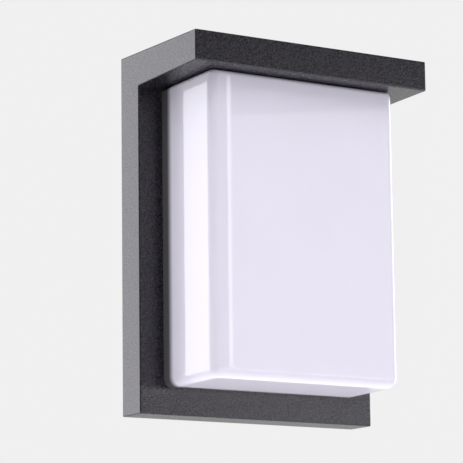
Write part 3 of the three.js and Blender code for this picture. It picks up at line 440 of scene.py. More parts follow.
def ledMaterial(look):
    material, tree, shader = newMaterial("ledPackage", {"Roughness": 0.32, "IOR": 1.45})
    chart = addNode(tree, "ShaderNodeUVMap", uv_map="chart")
    apart = addNode(tree, "ShaderNodeSeparateXYZ", {0: chart.outputs[0]})
    place = addNode(tree, "ShaderNodeTexCoord").outputs["Object"]
    speck = addNode(tree, "ShaderNodeTexNoise", {
        "Vector": place, "Scale": 1 / (look["speckMm"] * mm)})
    phosphor = addNode(tree, "ShaderNodeMix", {
        0: speck.outputs["Fac"], **colourEnds(look["phosphor"])}, data_type="RGBA")
    inside = addNode(tree, "ShaderNodeMath", {0: apart.outputs["X"], 1: look["phosphorFrom"]},
                     operation="GREATER_THAN")
    colour = addNode(tree, "ShaderNodeMix", {
        0: inside.outputs[0], 6: linearColour(look["package"]), 7: phosphor.outputs[2]},
        data_type="RGBA")
    feed(tree, shader, {"Base Color": colour.outputs[2]})
    return material


# Soft PVC insulation extruded in two colours: a straight yellow stripe on waxy green.
earthWireLook = {
    "green": ("#3c8f3a", "#479a43"),
    "yellow": "#e3c92c",
    "stripeShare": 0.35,
    "mottleMm": 1.5,
}


def stripedMaterial(look):
    material, tree, shader = newMaterial("earthWirePvc", {"Roughness": 0.38, "IOR": 1.53})
    chart = addNode(tree, "ShaderNodeUVMap", uv_map="chart")
    apart = addNode(tree, "ShaderNodeSeparateXYZ", {0: chart.outputs[0]})
    place = addNode(tree, "ShaderNodeTexCoord").outputs["Object"]
    mottle = addNode(tree, "ShaderNodeTexNoise", {
        "Vector": place, "Scale": 1 / (look["mottleMm"] * mm)})
    green = addNode(tree, "ShaderNodeMix", {
        0: mottle.outputs["Fac"], **colourEnds(look["green"])}, data_type="RGBA")
    stripe = addNode(tree, "ShaderNodeMath", {0: apart.outputs["Y"], 1: look["stripeShare"]},
                     operation="LESS_THAN")
    colour = addNode(tree, "ShaderNodeMix", {
        0: stripe.outputs[0], 6: green.outputs[2], 7: linearColour(look["yellow"])},
        data_type="RGBA")
    feed(tree, shader, {"Base Color": colour.outputs[2]})
    return material


# Coloured PVC wire insulation, extruded: even and waxy.
wirePvc = {"patternMm": 2, "roughness": (0.34, 0.44), "grainMm": 0.6, "bumpMm": 0.006,
           "shader": {"IOR": 1.53}}

# Plain finishes, by material slot: what each is and how it was made.
plainLooks = {
    # Moulded silicone rubber: dull, slightly tacky, dusty grey.
    "silicone_seal": ("siliconeRubber", {
        "colours": ("#38383a", "#424244"), "patternMm": 2.5, "roughness": (0.6, 0.74),
        "grainMm": 0.5, "bumpMm": 0.012, "shader": {"IOR": 1.41}}),
    # Stainless steel, turned and rolled: bright, with faint tool marks.
    "screw_steel": ("stainlessSteel", {
        "colours": ("#acadaf", "#c2c3c4"), "patternMm": 0.9, "roughness": (0.2, 0.34),
        "grainMm": 0.3, "bumpMm": 0.004, "metallic": 1}),
    # Silicone heat pad, calendered: matt and faintly speckled with filler.
    "heat_pad": ("siliconeHeatPad", {
        "colours": ("#8295a8", "#94a7b9"), "patternMm": 0.8, "roughness": (0.8, 0.92),
        "grainMm": 0.4, "bumpMm": 0.02}),
    # Natural polyamide, injection moulded: milky ivory with a soft shine.
    "white_nylon": ("mouldedPolyamide", {
        "colours": ("#e4e1d7", "#ebe9e2"), "patternMm": 9, "roughness": (0.4, 0.5),
        "grainMm": 0.6, "bumpMm": 0.008, "shader": {"IOR": 1.53}}),
    # Glass-filled black polyamide from a spark-eroded mould: an even, dry grain.
    "black_plastic": ("glassFilledPolyamide", {
        "colours": ("#1b1b1d", "#242426"), "patternMm": 4, "roughness": (0.48, 0.6),
        "grainMm": 0.7, "bumpMm": 0.03, "shader": {"IOR": 1.53}}),
    # Pressed and sintered ferrite: charcoal, gritty.
    "ferrite": ("sinteredFerrite", {
        "colours": ("#343331", "#423f3c"), "patternMm": 0.6, "roughness": (0.55, 0.72),
        "grainMm": 0.3, "bumpMm": 0.02}),
    # Shrunk PVC sleeve on a capacitor: smooth and half glossy.
    "capacitor_sleeve": ("shrunkPvcSleeve", {
        "colours": ("#1d1f29", "#252833"), "patternMm": 3, "roughness": (0.28, 0.36),
        "grainMm": 0.8, "bumpMm": 0.01, "shader": {"IOR": 1.53}}),
    # Brass under a thin tin plating: warm silver.
    "tinned_brass": ("tinnedBrass", {
        "colours": ("#c0b593", "#d0c6a8"), "patternMm": 0.7, "roughness": (0.26, 0.4),
        "grainMm": 0.3, "bumpMm": 0.005, "metallic": 1}),
    "brown_insulation": ("brownPvc", {**wirePvc, "colours": ("#623a1f", "#6d4326")}),
    "blue_insulation": ("bluePvc", {**wirePvc, "colours": ("#2a58a5", "#3163b3")}),
    "red_insulation": ("redPvc", {**wirePvc, "colours": ("#a92722", "#b5302a")}),
    "black_insulation": ("blackPvc", {**wirePvc, "colours": ("#18181a", "#212123")}),
    # EPDM rubber, compression moulded: matt black with a little bloom.
    "grommet_rubber": ("epdmRubber", {
        "colours": ("#1d1d1f", "#2a2a2c"), "patternMm": 1.8, "roughness": (0.66, 0.8),
        "grainMm": 0.5, "bumpMm": 0.015, "shader": {"IOR": 1.52}}),
}
diffuserLow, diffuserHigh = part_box("diffuser")
materialOf = {slot: mottled(name, look) for slot, (name, look) in plainLooks.items()}
materialOf["powder_coated_casting"] = powderCoatMaterial(powderCoatLook)
materialOf["opal_polycarbonate"] = opalMaterial(opalLook, diffuserHigh.y)
materialOf["galvanised_sheet"] = galvanisedMaterial(galvanisedLook)
materialOf |= {slot: boardMaterial(look) for slot, look in boardLooks.items()}
materialOf["led_phosphor"] = ledMaterial(ledLook)
materialOf["green_yellow_insulation"] = stripedMaterial(earthWireLook)
print("materials ready:", len(materialOf))


# Shapes

sharpDegrees = 32  # an edge that turns more than this stays sharp in the shading
mergeDistance = {"surface": 1e-7, "cad": 2e-6}
flatDegrees = 0.4  # CAD triangles that turn less than this are one face
bevelDegrees = 40  # an edge that turns more than this gets rounded


def settle(piece, *nodeNames):
    # The piece takes the body, the slot and the finish of the CAD nodes it stands for.
    slot = slotOf[nodeNames[0]]
    piece.data.materials.clear()
    piece.data.materials.append(materialOf[slot])
    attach(piece, bodyOf[nodeNames[0]])
    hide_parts(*nodeNames)
    return piece


def addPiece(name, mesh, shape):
    # Puts the worked mesh into the scene, smooth except where it turns sharply.
    shape.to_mesh(mesh)
    shape.free()
    mesh.shade_smooth()
    mesh.set_sharp_from_angle(angle=np.radians(sharpDegrees))
    piece = bpy.data.objects.new(name, mesh)
    bpy.context.scene.collection.objects.link(piece)
    return piece


def surface(name, points, closedRows=False):
    # A closed skin over a grid of points, rows by columns: each point is joined to its
    # neighbours, the columns close on themselves, and rows of one point close the ends.
    rows, columns = points.shape[:2]
    row, column = np.meshgrid(np.arange(rows if closedRows else rows - 1),
                              np.arange(columns), indexing="ij")
    cornerRow = np.stack([row, row, row + 1, row + 1], -1).reshape(-1, 4)
    cornerColumn = np.stack([column, column + 1, column + 1, column], -1).reshape(-1, 4)
    faces = (cornerRow % rows) * columns + cornerColumn % columns
    mesh = bpy.data.meshes.new(name)
    mesh.from_pydata(points.reshape(-1, 3).tolist(), [], faces.tolist())
    chart = mesh.uv_layers.new(name="chart")
    chart.data.foreach_set("uv", np.stack(
        [cornerRow / rows, cornerColumn / columns], -1).astype(np.float32).ravel())
    shape = bmesh.new()
    shape.from_mesh(mesh)
    bmesh.ops.remove_doubles(shape, verts=shape.verts, dist=mergeDistance["surface"])
    bmesh.ops.recalc_face_normals(shape, faces=shape.faces)
    return addPiece(name, mesh, shape)


def turned(name, profile, centre, axis, sides=48, closedRows=False):
    # Turned about an axis: a point is the centre, plus the axis times how far along it is,
    # plus the radius times the unit circle across it. Each profile row is (radius, along),
    # and either may be an array that changes round the circle.
    angle = np.linspace(0, 2 * np.pi, sides, endpoint=False)
    radius = np.stack([np.broadcast_to(row[0], sides) for row in profile])
    along = np.stack([np.broadcast_to(row[1], sides) for row in profile])
    lengthwise = np.eye(3)["xyz".index(axis)]
    across, upright = (np.eye(3)[i] for i in range(3) if i != "xyz".index(axis))
    points = (np.array(centre) + along[..., None] * lengthwise
              + (radius * np.cos(angle))[..., None] * across
              + (radius * np.sin(angle))[..., None] * upright)
    return surface(name, points, closedRows)


def hexagon(radius, sides):
    # The radius of a hexagon round the circle: its flats lie at cos 30 of the corner radius.
    angle = np.linspace(0, 2 * np.pi, sides, endpoint=False)
    return radius * np.cos(np.pi / 6) / np.cos((angle % (np.pi / 3)) - np.pi / 6)


def threadRows(radius, start, end, pitch, depth, sides):
    # A screw thread: the radius falls by a share of the depth that rises and falls evenly
    # once each pitch, and the whole wave moves one pitch along for each turn.
    angle = np.linspace(0, 1, sides, endpoint=False)
    along = np.arange(start, end, pitch / 6)
    turns = (along[:, None] / pitch - angle) % 1
    fadeOut = np.clip(np.minimum(along - start, end - along) / pitch, 0, 1)[:, None]
    return [(radius - depth * fade * np.abs(2 * wave - 1), place)
            for wave, fade, place in zip(turns, fadeOut, along)]


def roundedRing(halfWidth, halfHeight, radii, cornerSteps=14, sideSteps=18):
    # A rounded rectangle in x and z, anticlockwise from the right of the top right corner:
    # four arcs with straight runs between them, and the outward direction at every point.
    arc = np.linspace(0, np.pi / 2, cornerSteps)
    radii = np.broadcast_to(np.asarray(radii, float), 4)[:, None]
    middles = np.array([[1, 1], [-1, 1], [-1, -1], [1, -1]]) * (
        np.array([halfWidth, halfHeight]) - radii)
    angle = arc[None] + np.arange(4)[:, None] * np.pi / 2
    out = np.stack([np.cos(angle), np.sin(angle)], -1)
    corners = middles[:, None] + radii[..., None] * out
    share = np.linspace(0, 1, sideSteps + 2)[1:-1, None]
    nextStart = np.roll(corners[:, :1], -1, axis=0)
    runs = corners[:, -1:] * (1 - share) + nextStart * share
    runOut = np.broadcast_to(out[:, -1:], runs.shape)
    return (np.concatenate([corners, runs], 1).reshape(-1, 2),
            np.concatenate([out, runOut], 1).reshape(-1, 2))


def cleaned(nodeName, name):
    # A worked copy of a CAD node: its triangles merged and joined into flat faces.
    mesh = nodes[nodeName].data.copy()
    mesh.name = name
    custom = mesh.attributes.get("custom_normal")
    if custom:
        mesh.attributes.remove(custom)
    shape = bmesh.new()
    shape.from_mesh(mesh)
    bmesh.ops.remove_doubles(shape, verts=shape.verts, dist=mergeDistance["cad"])
    bmesh.ops.dissolve_limit(shape, angle_limit=np.radians(flatDegrees), verts=shape.verts,
                             edges=shape.edges)
    return addPiece(name, mesh, shape)


def roundEdges(piece, edgeMm, segments=2, byWeight=False):
    # Rounds the sharp edges, or only the weighted ones, with a small radius.
    bevel = piece.modifiers.new("roundedEdges", "BEVEL")
    bevel.width = edgeMm * mm
    bevel.segments = segments
    bevel.limit_method = "WEIGHT" if byWeight else "ANGLE"
    bevel.angle_limit = np.radians(bevelDegrees)


def refined(nodeName, name, edgeMm):
    # A cleaned CAD node with rounded edges, its flat faces kept flat in the shading.
    piece = cleaned(nodeName, name)
    roundEdges(piece, edgeMm)
    piece.modifiers.new("flatFaces", "WEIGHTED_NORMAL").keep_sharp = True
    return settle(piece, nodeName)


# Housing and diffuser

refined("housing", "housing_casting", 0.5)

diffuser = {
    "edgeMm": 5,  # radius of the sides, the bottom and the front
    "rimEdgeMm": 5.4,
    "topEdgeMm": 2.8,
    "wallMm": 2,
    "draftMm": 1,  # how far the sides and the bottom lean in over the depth
    "topRise": 1 / 30,  # the flat top rises forwards, along the visor's underside
    "sideRows": 15,
    "frontRings": (0.985, 0.04, 26),  # the first ring's size, the last one's, and how many
    "lug": {"halfMm": 5, "depthMm": 12, "xMm": 40, "cornerMm": 1, "boreMm": 1.8,
            "boreFloorMm": 1.5, "overlapMm": 1, "gapMm": 0.5, "setBackMm": 0.01},
}


def diffuserRows(inset, steps=14):
    # One skin of the diffuser, from the rim to the middle of its front: straight sides, a
    # quarter round of the edge radius less the inset, and the last ring shrunk to a point.
    # The top stays flat: it only rises forwards, and drops at its small front edge.
    low, high = diffuserLow, diffuserHigh
    radius, topEdge = diffuser["edgeMm"] * mm - inset, diffuser["topEdgeMm"] * mm
    rimTop = high.z - diffuser["topRise"] * (high.y - low.y)
    middle, halfHeight = (rimTop + low.z) / 2, (rimTop - low.z) / 2
    rimEdge = diffuser["rimEdgeMm"] * mm - inset
    ring, out = roundedRing(high.x - inset, halfHeight - inset,
                            (topEdge, topEdge, rimEdge, rimEdge), 14, 34)
    isTop = ring[:, 1] > halfHeight - inset - 1.001 * topEdge
    sideways = np.stack([np.clip(ring[:, 0] / (high.x - inset - topEdge), -1, 1),
                         np.zeros(len(ring))], -1)
    pullWay = np.where(isTop[:, None], sideways, out)
    frontY = low.y + inset
    angle = np.linspace(0, np.pi / 2, steps + 1)
    sideY = np.linspace(high.y, frontY + radius, diffuser["sideRows"], endpoint=False)
    y = np.concatenate([sideY, frontY + radius * (1 - np.sin(angle))])
    pull = np.concatenate([np.zeros(len(sideY)), radius * (1 - np.cos(angle))])
    flat = ring[None] - pull[:, None, None] * pullWay[None]
    forward = high.y - y[:, None]
    lean = diffuser["draftMm"] * mm * forward / (high.y - low.y)
    fromFront = np.clip((y[:, None] - frontY) / topEdge, 0, 1)
    drop = topEdge * (1 - np.sqrt(1 - (1 - fromFront) ** 2))
    share = (flat[..., 1] + halfHeight - inset) / (2 * (halfHeight - inset))
    x = flat[..., 0] * (1 - lean / high.x)
    z = (flat[..., 1] + middle + lean * (1 - share)
         + (diffuser["topRise"] * forward - drop) * np.clip(share, 0, 1))
    rows = np.stack([x, np.broadcast_to(y[:, None], x.shape), z], -1)
    shrink = np.append(np.linspace(*diffuser["frontRings"]), 0)[:, None, None]
    centre = np.array([0, frontY, (z[-1].max() + z[-1].min()) / 2])
    return np.concatenate([rows, centre + (rows[-1] - centre) * shrink])


def addLug(x, z, outward):
    # A square post with rounded corners and a screw hole: its rows run over the outside,
    # across the rim end and down the hole, where they become circles. The side next to the
    # diffuser's wall runs into it.
    lug = diffuser["lug"]
    half, corner, bore, overlap = (lug[key] * mm for key in (
        "halfMm", "cornerMm", "boreMm", "overlapMm"))
    square = roundedRing(half, half, corner, 6, 5)[0]
    nextToWall = square[:, 1] * outward > half - 0.1 * mm
    square[:, 1] = np.where(nextToWall, outward * (half + overlap), square[:, 1])
    circle = bore * square / np.linalg.norm(square, axis=1, keepdims=True)
    front = diffuserHigh.y - lug["depthMm"] * mm
    rear = diffuserHigh.y - lug["setBackMm"] * mm
    boreFloor = front + lug["boreFloorMm"] * mm
    plan = [(square * 0, front), (square, front), (square, rear), (circle, rear),
            (circle, boreFloor), (circle * 0, boreFloor)]
    points = np.stack([np.stack([ring[:, 0] + x, np.full(len(ring), y), ring[:, 1] + z], -1)
                       for ring, y in plan])
    return surface("lug", points)


def addDiffuser():
    outside, inside = diffuserRows(0.0), diffuserRows(diffuser["wallMm"] * mm)
    piece = surface("diffuser_shell", np.concatenate([inside[::-1], outside]))
    lug = diffuser["lug"]
    rimTop = diffuserHigh.z - diffuser["topRise"] * (diffuserHigh.y - diffuserLow.y)
    inward = (diffuser["wallMm"] + lug["halfMm"] + lug["gapMm"]) * mm
    for z, outward in ((diffuserLow.z + inward, -1), (rimTop - inward, 1)):
        for x in (-lug["xMm"] * mm, lug["xMm"] * mm):
            post = addLug(x, z, outward)
            join = piece.modifiers.new("join", "BOOLEAN")
            join.operation, join.solver, join.object = "UNION", "EXACT", post
            bpy.context.view_layer.update()
            joined = bpy.data.meshes.new_from_object(
                piece.evaluated_get(bpy.context.evaluated_depsgraph_get()))
            piece.modifiers.clear()
            piece.data = joined
            bpy.data.objects.remove(post)
    piece.data.name = "diffuser_shell"
    return settle(piece, "diffuser")


addDiffuser()
print("housing and diffuser made")


# Seals

seals = {
    "diffuser_gasket": {"name": "diffuser_seal", "widthMm": 1.8, "radiiMm": (2.4, 5)},
    "cover_gasket": {"name": "cover_seal", "widthMm": 2.2, "radiiMm": (2, 2)},
}


def addSeal(nodeName, look):
    # A soft bead carried round a rounded rectangle: its section is a squared oval, the
    # cosine and sine of the angle raised to a half power.
    low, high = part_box(nodeName)
    half = look["widthMm"] * mm / 2
    top, bottom = (radius * mm - half for radius in look["radiiMm"])
    path, out = roundedRing(high.x - half, (high.z - low.z) / 2 - half,
                            (top, top, bottom, bottom), 8, 24)
    angle = np.linspace(0, 2 * np.pi, 16, endpoint=False)
    squared = [np.sign(wave) * np.abs(wave) ** 0.5 for wave in (np.cos(angle), np.sin(angle))]
    across, depth = half * squared[0], (high.y - low.y) / 2 * squared[1]
    x = path[:, 0, None] + out[:, 0, None] * across
    z = path[:, 1, None] + out[:, 1, None] * across + (high.z + low.z) / 2
    y = np.broadcast_to(depth + (high.y + low.y) / 2, x.shape)
    return settle(surface(look["name"], np.stack([x, y, z], -1), closedRows=True), nodeName)


for sealNode, sealLook in seals.items():
    addSeal(sealNode, sealLook)


# Screws and studs

# Each head is a list of (share of its radius, distance in mm below its top).
panHead = [(0.97, 2.0), (1.0, 1.9), (1.0, 1.0), (0.95, 0.55), (0.86, 0.2), (0.74, 0.0)]
smallScrew = {"axis": "y", "headHigh": True, "shankMm": 1.5, "headMm": 2.8, "head": panHead,
              "pitchMm": 0.5, "socketMm": 1.2, "plainMm": 0.4}
largeScrew = {**smallScrew, "shankMm": 2.0, "headMm": 3.6, "pitchMm": 0.7}
screws = {
    "diffuser_screw": {**smallScrew, "ends": range(1, 5)},
    "board_screw": {**smallScrew, "ends": range(1, 5), "headHigh": False},
    "driver_screw": {**smallScrew, "ends": range(1, 3)},
    "earth_screw": {**largeScrew, "ends": ()},
    "cover_screw": {**smallScrew, "ends": range(1, 7), "head": [
        (0.54, 1.45), (0.97, 0.2), (1.0, 0.12), (0.98, 0.02), (0.94, 0.0)]},
    "hanging_stud": {**largeScrew, "ends": range(1, 5), "headMm": 3.7, "socketMm": 1.45,
                     "plainMm": 6.5, "head": [(0.56, 2.6), (0.96, 2.6), (1.0, 2.45),
                                              (1.0, 0.8), (0.9, 0.25), (0.8, 0.0)]},
    "fixing_screw": {**largeScrew, "ends": ("left", "right"), "axis": "z", "headMm": 3.9,
                     "socketMm": 1.45,
                     "head": [(0.53, 1.9), (0.97, 0.14), (1.0, 0.08), (0.98, 0.0)]},
}
screwCut = {
    "sides": 36,
    "tipMm": 0.3,
    "threadDepth": 0.55,  # of the pitch
    "tipInset": 0.6,  # of the pitch
    "runOutMm": 0.05,
    "socketDeepMm": 1.1,
    "socketConeMm": 0.3,
    "chamferMm": 0.08,
    "chamferGrowth": 1.06,
}


def addScrew(nodeName, look):
    # A screw from its tip to its socket: a chamfer, the thread, the head's outline, and a
    # hexagonal socket that ends in a shallow cone.
    sides = screwCut["sides"]
    low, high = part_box(nodeName)
    axis = "xyz".index(look["axis"])
    length = high[axis] - low[axis]
    facing = 1 if look["headHigh"] else -1
    centre = (low + high) / 2
    centre[axis] = low[axis] if look["headHigh"] else high[axis]
    shank, head = look["shankMm"] * mm, look["headMm"] * mm
    pitch = look["pitchMm"] * mm
    underHead = length - look["head"][0][1] * mm
    neck = underHead - look["plainMm"] * mm
    socket = hexagon(look["socketMm"] * mm, sides)
    tip, runOut, deep, cone, chamfer = (screwCut[key] * mm for key in (
        "tipMm", "runOutMm", "socketDeepMm", "socketConeMm", "chamferMm"))
    profile = [(0, 0), (shank - screwCut["tipInset"] * pitch, 0)]
    profile += threadRows(shank, tip, neck, pitch, screwCut["threadDepth"] * pitch, sides)
    profile += [(shank, neck + runOut), (shank, underHead)]
    profile += [(share * head, length - below * mm) for share, below in look["head"]]
    profile += [(socket * screwCut["chamferGrowth"], length), (socket, length - chamfer),
                (socket, length - deep), (0, length - deep - cone)]
    profile = [(radius, facing * np.asarray(along)) for radius, along in profile]
    return settle(turned(nodeName + "_turned", profile, centre, look["axis"], sides), nodeName)


for screwKind, screwLook in screws.items():
    for screwNode in [f"{screwKind}_{end}" for end in screwLook["ends"]] or [screwKind]:
        addScrew(screwNode, screwLook)
print("seals and screws made")


# Light source

led = {"wellRadiusMm": 1.85, "wellMm": 0.22, "domeMm": 0.16, "cornerMm": 0.35,
       "edgeMm": 0.12}


def addLed(nodeName):
    # A square package whose front rows turn from the square to a round well, filled with a
    # low dome of phosphor: its height is one less the square of the radius share.
    low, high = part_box(nodeName)
    half = (high.x - low.x) / 2
    square = roundedRing(half, half, led["cornerMm"] * mm, 5, 6)[0]
    circle = square / np.linalg.norm(square, axis=1, keepdims=True)
    well, edge = led["wellRadiusMm"] * mm, led["edgeMm"] * mm
    floor = low.y + led["wellMm"] * mm
    shares = np.linspace(1, 0, 8)
    plan = [(square * 0, high.y), (square * 0.8, high.y), (square, high.y - edge),
            (square, low.y + edge), (square * 0.96, low.y), (circle * (well + edge), low.y),
            (circle * well, low.y + edge)]
    plan += [(circle * well * share,
              floor - led["domeMm"] * mm * (1 - share ** 2)) for share in shares]
    points = np.stack([np.stack([ring[:, 0] + (low.x + high.x) / 2, np.full(len(ring), y),
                                 ring[:, 1] + (low.z + high.z) / 2], -1) for ring, y in plan])
    return settle(surface(nodeName + "_package", points), nodeName)


for ledNumber in range(1, 11):
    addLed(f"led_{ledNumber}")
refined("led_board", "led_board_plate", 0.2)
refined("thermal_pad", "thermal_pad_sheet", 0.1)
refined("board_connector", "board_connector_shell", 0.35)


# Driver and terminals

def outlineRows(rows, start, end):
    # Rows of (radius, the end it is measured from, distance from it) in mm become rows of
    # (radius, along).
    ends = {"start": start, "end": end}
    return [(radius * mm, ends[which] + distance * mm) for radius, which, distance in rows]


# A can: a crimped groove near one end and slightly domed, rounded ends.
capacitorOutline = [
    (0, "start", 0.1), (1.98, "start", 0), (3.1, "start", 0), (3.6, "start", 0.5),
    (3.6, "start", 1.6), (3.25, "start", 2.0), (3.25, "start", 2.4), (3.6, "start", 2.8),
    (3.6, "end", -0.6), (3.4, "end", -0.15), (2.9, "end", 0), (2.7, "end", -0.15),
    (0, "end", -0.15)]


def addCapacitor():
    low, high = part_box("driver_capacitor")
    profile = outlineRows(capacitorOutline, 0, high.x - low.x)
    centre = (low + high) / 2
    centre.x = low.x
    return settle(turned("driver_capacitor_can", profile, centre, "x"), "driver_capacitor")


addCapacitor()
refined("driver_base", "driver_base_moulding", 0.25)
refined("driver_lid", "driver_lid_moulding", 0.35)
refined("driver_circuit_board", "driver_circuit_plate", 0.12)
refined("driver_transformer", "driver_transformer_core", 0.3)
refined("terminal_block", "terminal_block_moulding", 0.3)
for poleNumber in range(1, 4):
    refined(f"terminal_screw_{poleNumber}", f"terminal_screw_{poleNumber}_slotted", 0.12)
refined("earth_ring_tag", "earth_ring_tag_pressed", 0.12)
print("light source and driver made")


# Wires

# Points given in millimetres, each route from the terminal block or the driver.
wires = {
    "live_wire": [(-29, -17, -9.5), (-29, -17, -1), (-37, -16.5, 9), (-50.4, -15, 22),
                  (-52, -15, 38), (-50, -16.5, 50), (-45, -17, 53.5), (-41, -17, 53.5)],
    "neutral_wire": [(-21, -17, -9.5), (-21, -17, 0), (-31, -16.5, 11), (-45.5, -15, 21),
                     (-49, -15, 32), (-48.6, -15.5, 43), (-45.5, -16.8, 50.2),
                     (-41, -17, 50.5)],
    "earth_wire": [(-13, -17, -9.5), (-13, -17, 0), (-6, -16.5, 7), (4, -16.5, 0),
                   (7, -17, -14), (9, -18, -26), (11.5, -18.4, -29.6), (15.8, -18.5, -30)],
    "led_plus_wire": [(41, -17, 53.5), (45, -17, 53.5), (50, -16.5, 50), (52.6, -15.5, 38),
                      (52.4, -16, 24), (51, -20, 14.6), (51, -26, 13.6), (50.5, -30, 13.6),
                      (47.5, -31.8, 13.6), (40.5, -31.8, 13.6)],
    "led_minus_wire": [(41, -17, 50.5), (45, -16.8, 50.2), (48.6, -15.5, 43),
                       (49.4, -15.2, 32), (49.4, -16, 20), (50.4, -20, 11), (51, -26, 10.4),
                       (50.5, -30, 10.4), (47.5, -31.8, 10.4), (40.5, -31.8, 10.4)],
}
wire = {
    "radiusMm": 0.98,
    "endShare": 0.85,  # of the radius, where the flat ends are chamfered
    "sides": 20,
    "aside": (0.48, 0.6, 0.64),  # a direction that no wire runs along
}


def smoothRoute(points, spanSteps=10):
    # A smooth line through the points: each span blends straight lines through its four
    # nearest points, spaced by the square roots of their distances.
    points = np.asarray(points, float)
    ends = np.vstack([2 * points[0] - points[1], points, 2 * points[-1] - points[-2]])
    first, second, third, fourth = (ends[i:len(ends) - 3 + i, None] for i in range(4))

    def gap(a, b):
        return np.sqrt(np.linalg.norm(b - a, axis=-1, keepdims=True))

    def between(a, b, start, end):
        return ((end - t) * a + (t - start) * b) / (end - start)

    t1 = gap(first, second)
    t2 = t1 + gap(second, third)
    t3 = t2 + gap(third, fourth)
    t = t1 + (t2 - t1) * np.linspace(0, 1, spanSteps, endpoint=False)[None, :, None]
    a1, a2, a3 = between(first, second, 0, t1), between(second, third, t1, t2), between(
        third, fourth, t2, t3)
    line = between(between(a1, a2, 0, t2), between(a2, a3, t1, t3), t1, t2)
    return np.vstack([line.reshape(-1, 3), points[-1]])


def addWire(nodeName, route):
    # A round wire: a circle carried along the route, square to it, with closed flat ends.
    line = smoothRoute(route) * mm
    along = np.gradient(line, axis=0)
    along /= np.linalg.norm(along, axis=1, keepdims=True)
    side = np.cross(along, wire["aside"])
    side /= np.linalg.norm(side, axis=1, keepdims=True)
    other = np.cross(along, side)
    angle = np.linspace(0, 2 * np.pi, wire["sides"], endpoint=False)[None, :, None]
    share = np.r_[0, wire["endShare"], np.ones(len(line)), wire["endShare"], 0]
    radius = wire["radiusMm"] * mm * share[:, None, None]
    line, side, other = (np.vstack([v[:1], v[:1], v, v[-1:], v[-1:]])[:, None]
                         for v in (line, side, other))
    points = line + radius * (np.cos(angle) * side + np.sin(angle) * other)
    return settle(surface(nodeName + "_lead", points), nodeName)


for wireNode, wireRoute in wires.items():
    addWire(wireNode, wireRoute)
print("wires made")


# Rear cover and its fittings

refined("rear_cover", "rear_cover_moulding", 0.3)


# A rubber ring: a groove that grips the cover, a lip on each side and a thin inner membrane
# edge, all one closed outline.
grommetOutline = [
    (4.5, "start", 0.3), (4.8, "start", 0), (8.0, "start", 0), (8.6, "start", 0.4),
    (9.8, "start", 1.8), (9.7, "start", 2.0), (7.05, "start", 2.0), (7.05, "end", -0.7),
    (9.5, "end", -0.7), (9.6, "end", -0.5), (9.3, "end", -0.1), (9.0, "end", 0),
    (6.6, "end", 0), (6.3, "end", -0.35), (5.7, "end", -0.35), (5.4, "end", 0),
    (4.8, "end", 0), (4.5, "end", -0.3)]


def addGrommet():
    low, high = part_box("cable_grommet")
    outline = outlineRows(grommetOutline, low.y, high.y)
    centre = ((low.x + high.x) / 2, 0, (low.z + high.z) / 2)
    return settle(turned("cable_grommet_ring", outline, centre, "y", 64, closedRows=True),
                  "cable_grommet")


# A snap-in vent: a stem, and a cap whose slots are a wave round its edge.
vent = {
    "sides": 96,
    "slots": 12,
    "slotMm": 0.35,
    "slotFromMm": 5.8,  # the slots cut every radius beyond this
    "outline": [
        (0, "start", 4.0), (1.6, "start", 4.0), (1.6, "start", 0.2), (1.8, "start", 0),
        (2.7, "start", 0), (3.0, "start", 0.5), (3.0, "end", -0.7), (5.7, "end", -0.7),
        (6.0, "end", -0.55), (6.0, "end", -0.15), (5.85, "end", 0), (4.2, "end", 0),
        (4.0, "end", -0.2), (3.4, "end", -0.2), (3.2, "end", 0), (0, "end", 0)],
}


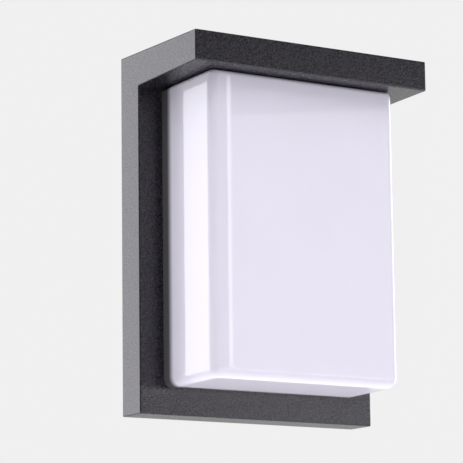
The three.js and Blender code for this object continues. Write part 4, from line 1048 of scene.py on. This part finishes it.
def addVentPlug():
    # A slot's depth is three times the cosine of the slots' angle, less 1.4, kept between
    # nothing and the whole.
    low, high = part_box("vent_plug")
    turn = np.linspace(0, 2 * np.pi, vent["sides"], endpoint=False)
    slot = np.clip(np.cos(vent["slots"] * turn) * 3 - 1.4, 0, 1) * vent["slotMm"]
    rows = [(radius - slot * (radius > vent["slotFromMm"]), which, distance)
            for radius, which, distance in vent["outline"]]
    outline = outlineRows(rows, low.y, high.y)
    centre = ((low.x + high.x) / 2, 0, (low.z + high.z) / 2)
    return settle(turned("vent_plug_moulding", outline, centre, "y", vent["sides"]),
                  "vent_plug")


addGrommet()
addVentPlug()


# Wall bracket

bracket = {
    "edgeMm": 0.25,
    "outerFoldMm": 2.8,
    "innerFoldMm": 0.8,
    "outerFolds": ((60.5, 0), (58.5, -8)),  # mm from the middle, and y in mm
    "innerFolds": ((58.5, -2), (60.5, -6)),
    "foldSegments": 6,
    "nearMm": 0.05,  # an edge this close to a fold's place is on it
    "uprightMm": 0.01,  # an edge that strays less than this in x and y is upright
}


def addBracket():
    # The pressed sheet: its long folds get the bend radii of 2 mm steel, and every other
    # edge the small radius that the press leaves.
    piece = cleaned("wall_bracket", "wall_bracket_sheet")
    mesh = piece.data
    ends = np.empty(len(mesh.edges) * 2, int)
    mesh.edges.foreach_get("vertices", ends)
    place = np.empty(len(mesh.vertices) * 3, np.float32)
    mesh.vertices.foreach_get("co", place)
    start, end = place.reshape(-1, 3)[ends.reshape(-1, 2).T] / mm
    upright = np.hypot(*(start - end)[:, :2].T) < bracket["uprightMm"]
    weight = np.zeros(len(mesh.edges), np.float32)
    innerShare = bracket["innerFoldMm"] / bracket["outerFoldMm"]
    folds = [(*fold, 1) for fold in bracket["outerFolds"]]
    folds += [(*fold, innerShare) for fold in bracket["innerFolds"]]
    for x, y, share in folds:
        onFold = upright & (np.abs(np.abs(start[:, 0]) - x) < bracket["nearMm"]) & (
            np.abs(start[:, 1] - y) < bracket["nearMm"])
        weight[onFold] = share
    mesh.attributes.new("bevel_weight_edge", "FLOAT", "EDGE").data.foreach_set("value", weight)
    roundEdges(piece, bracket["outerFoldMm"], bracket["foldSegments"], byWeight=True)
    roundEdges(piece, bracket["edgeMm"])
    piece.modifiers.new("flatFaces", "WEIGHTED_NORMAL").keep_sharp = True
    return settle(piece, "wall_bracket")


addBracket()
print("rear cover and bracket made")
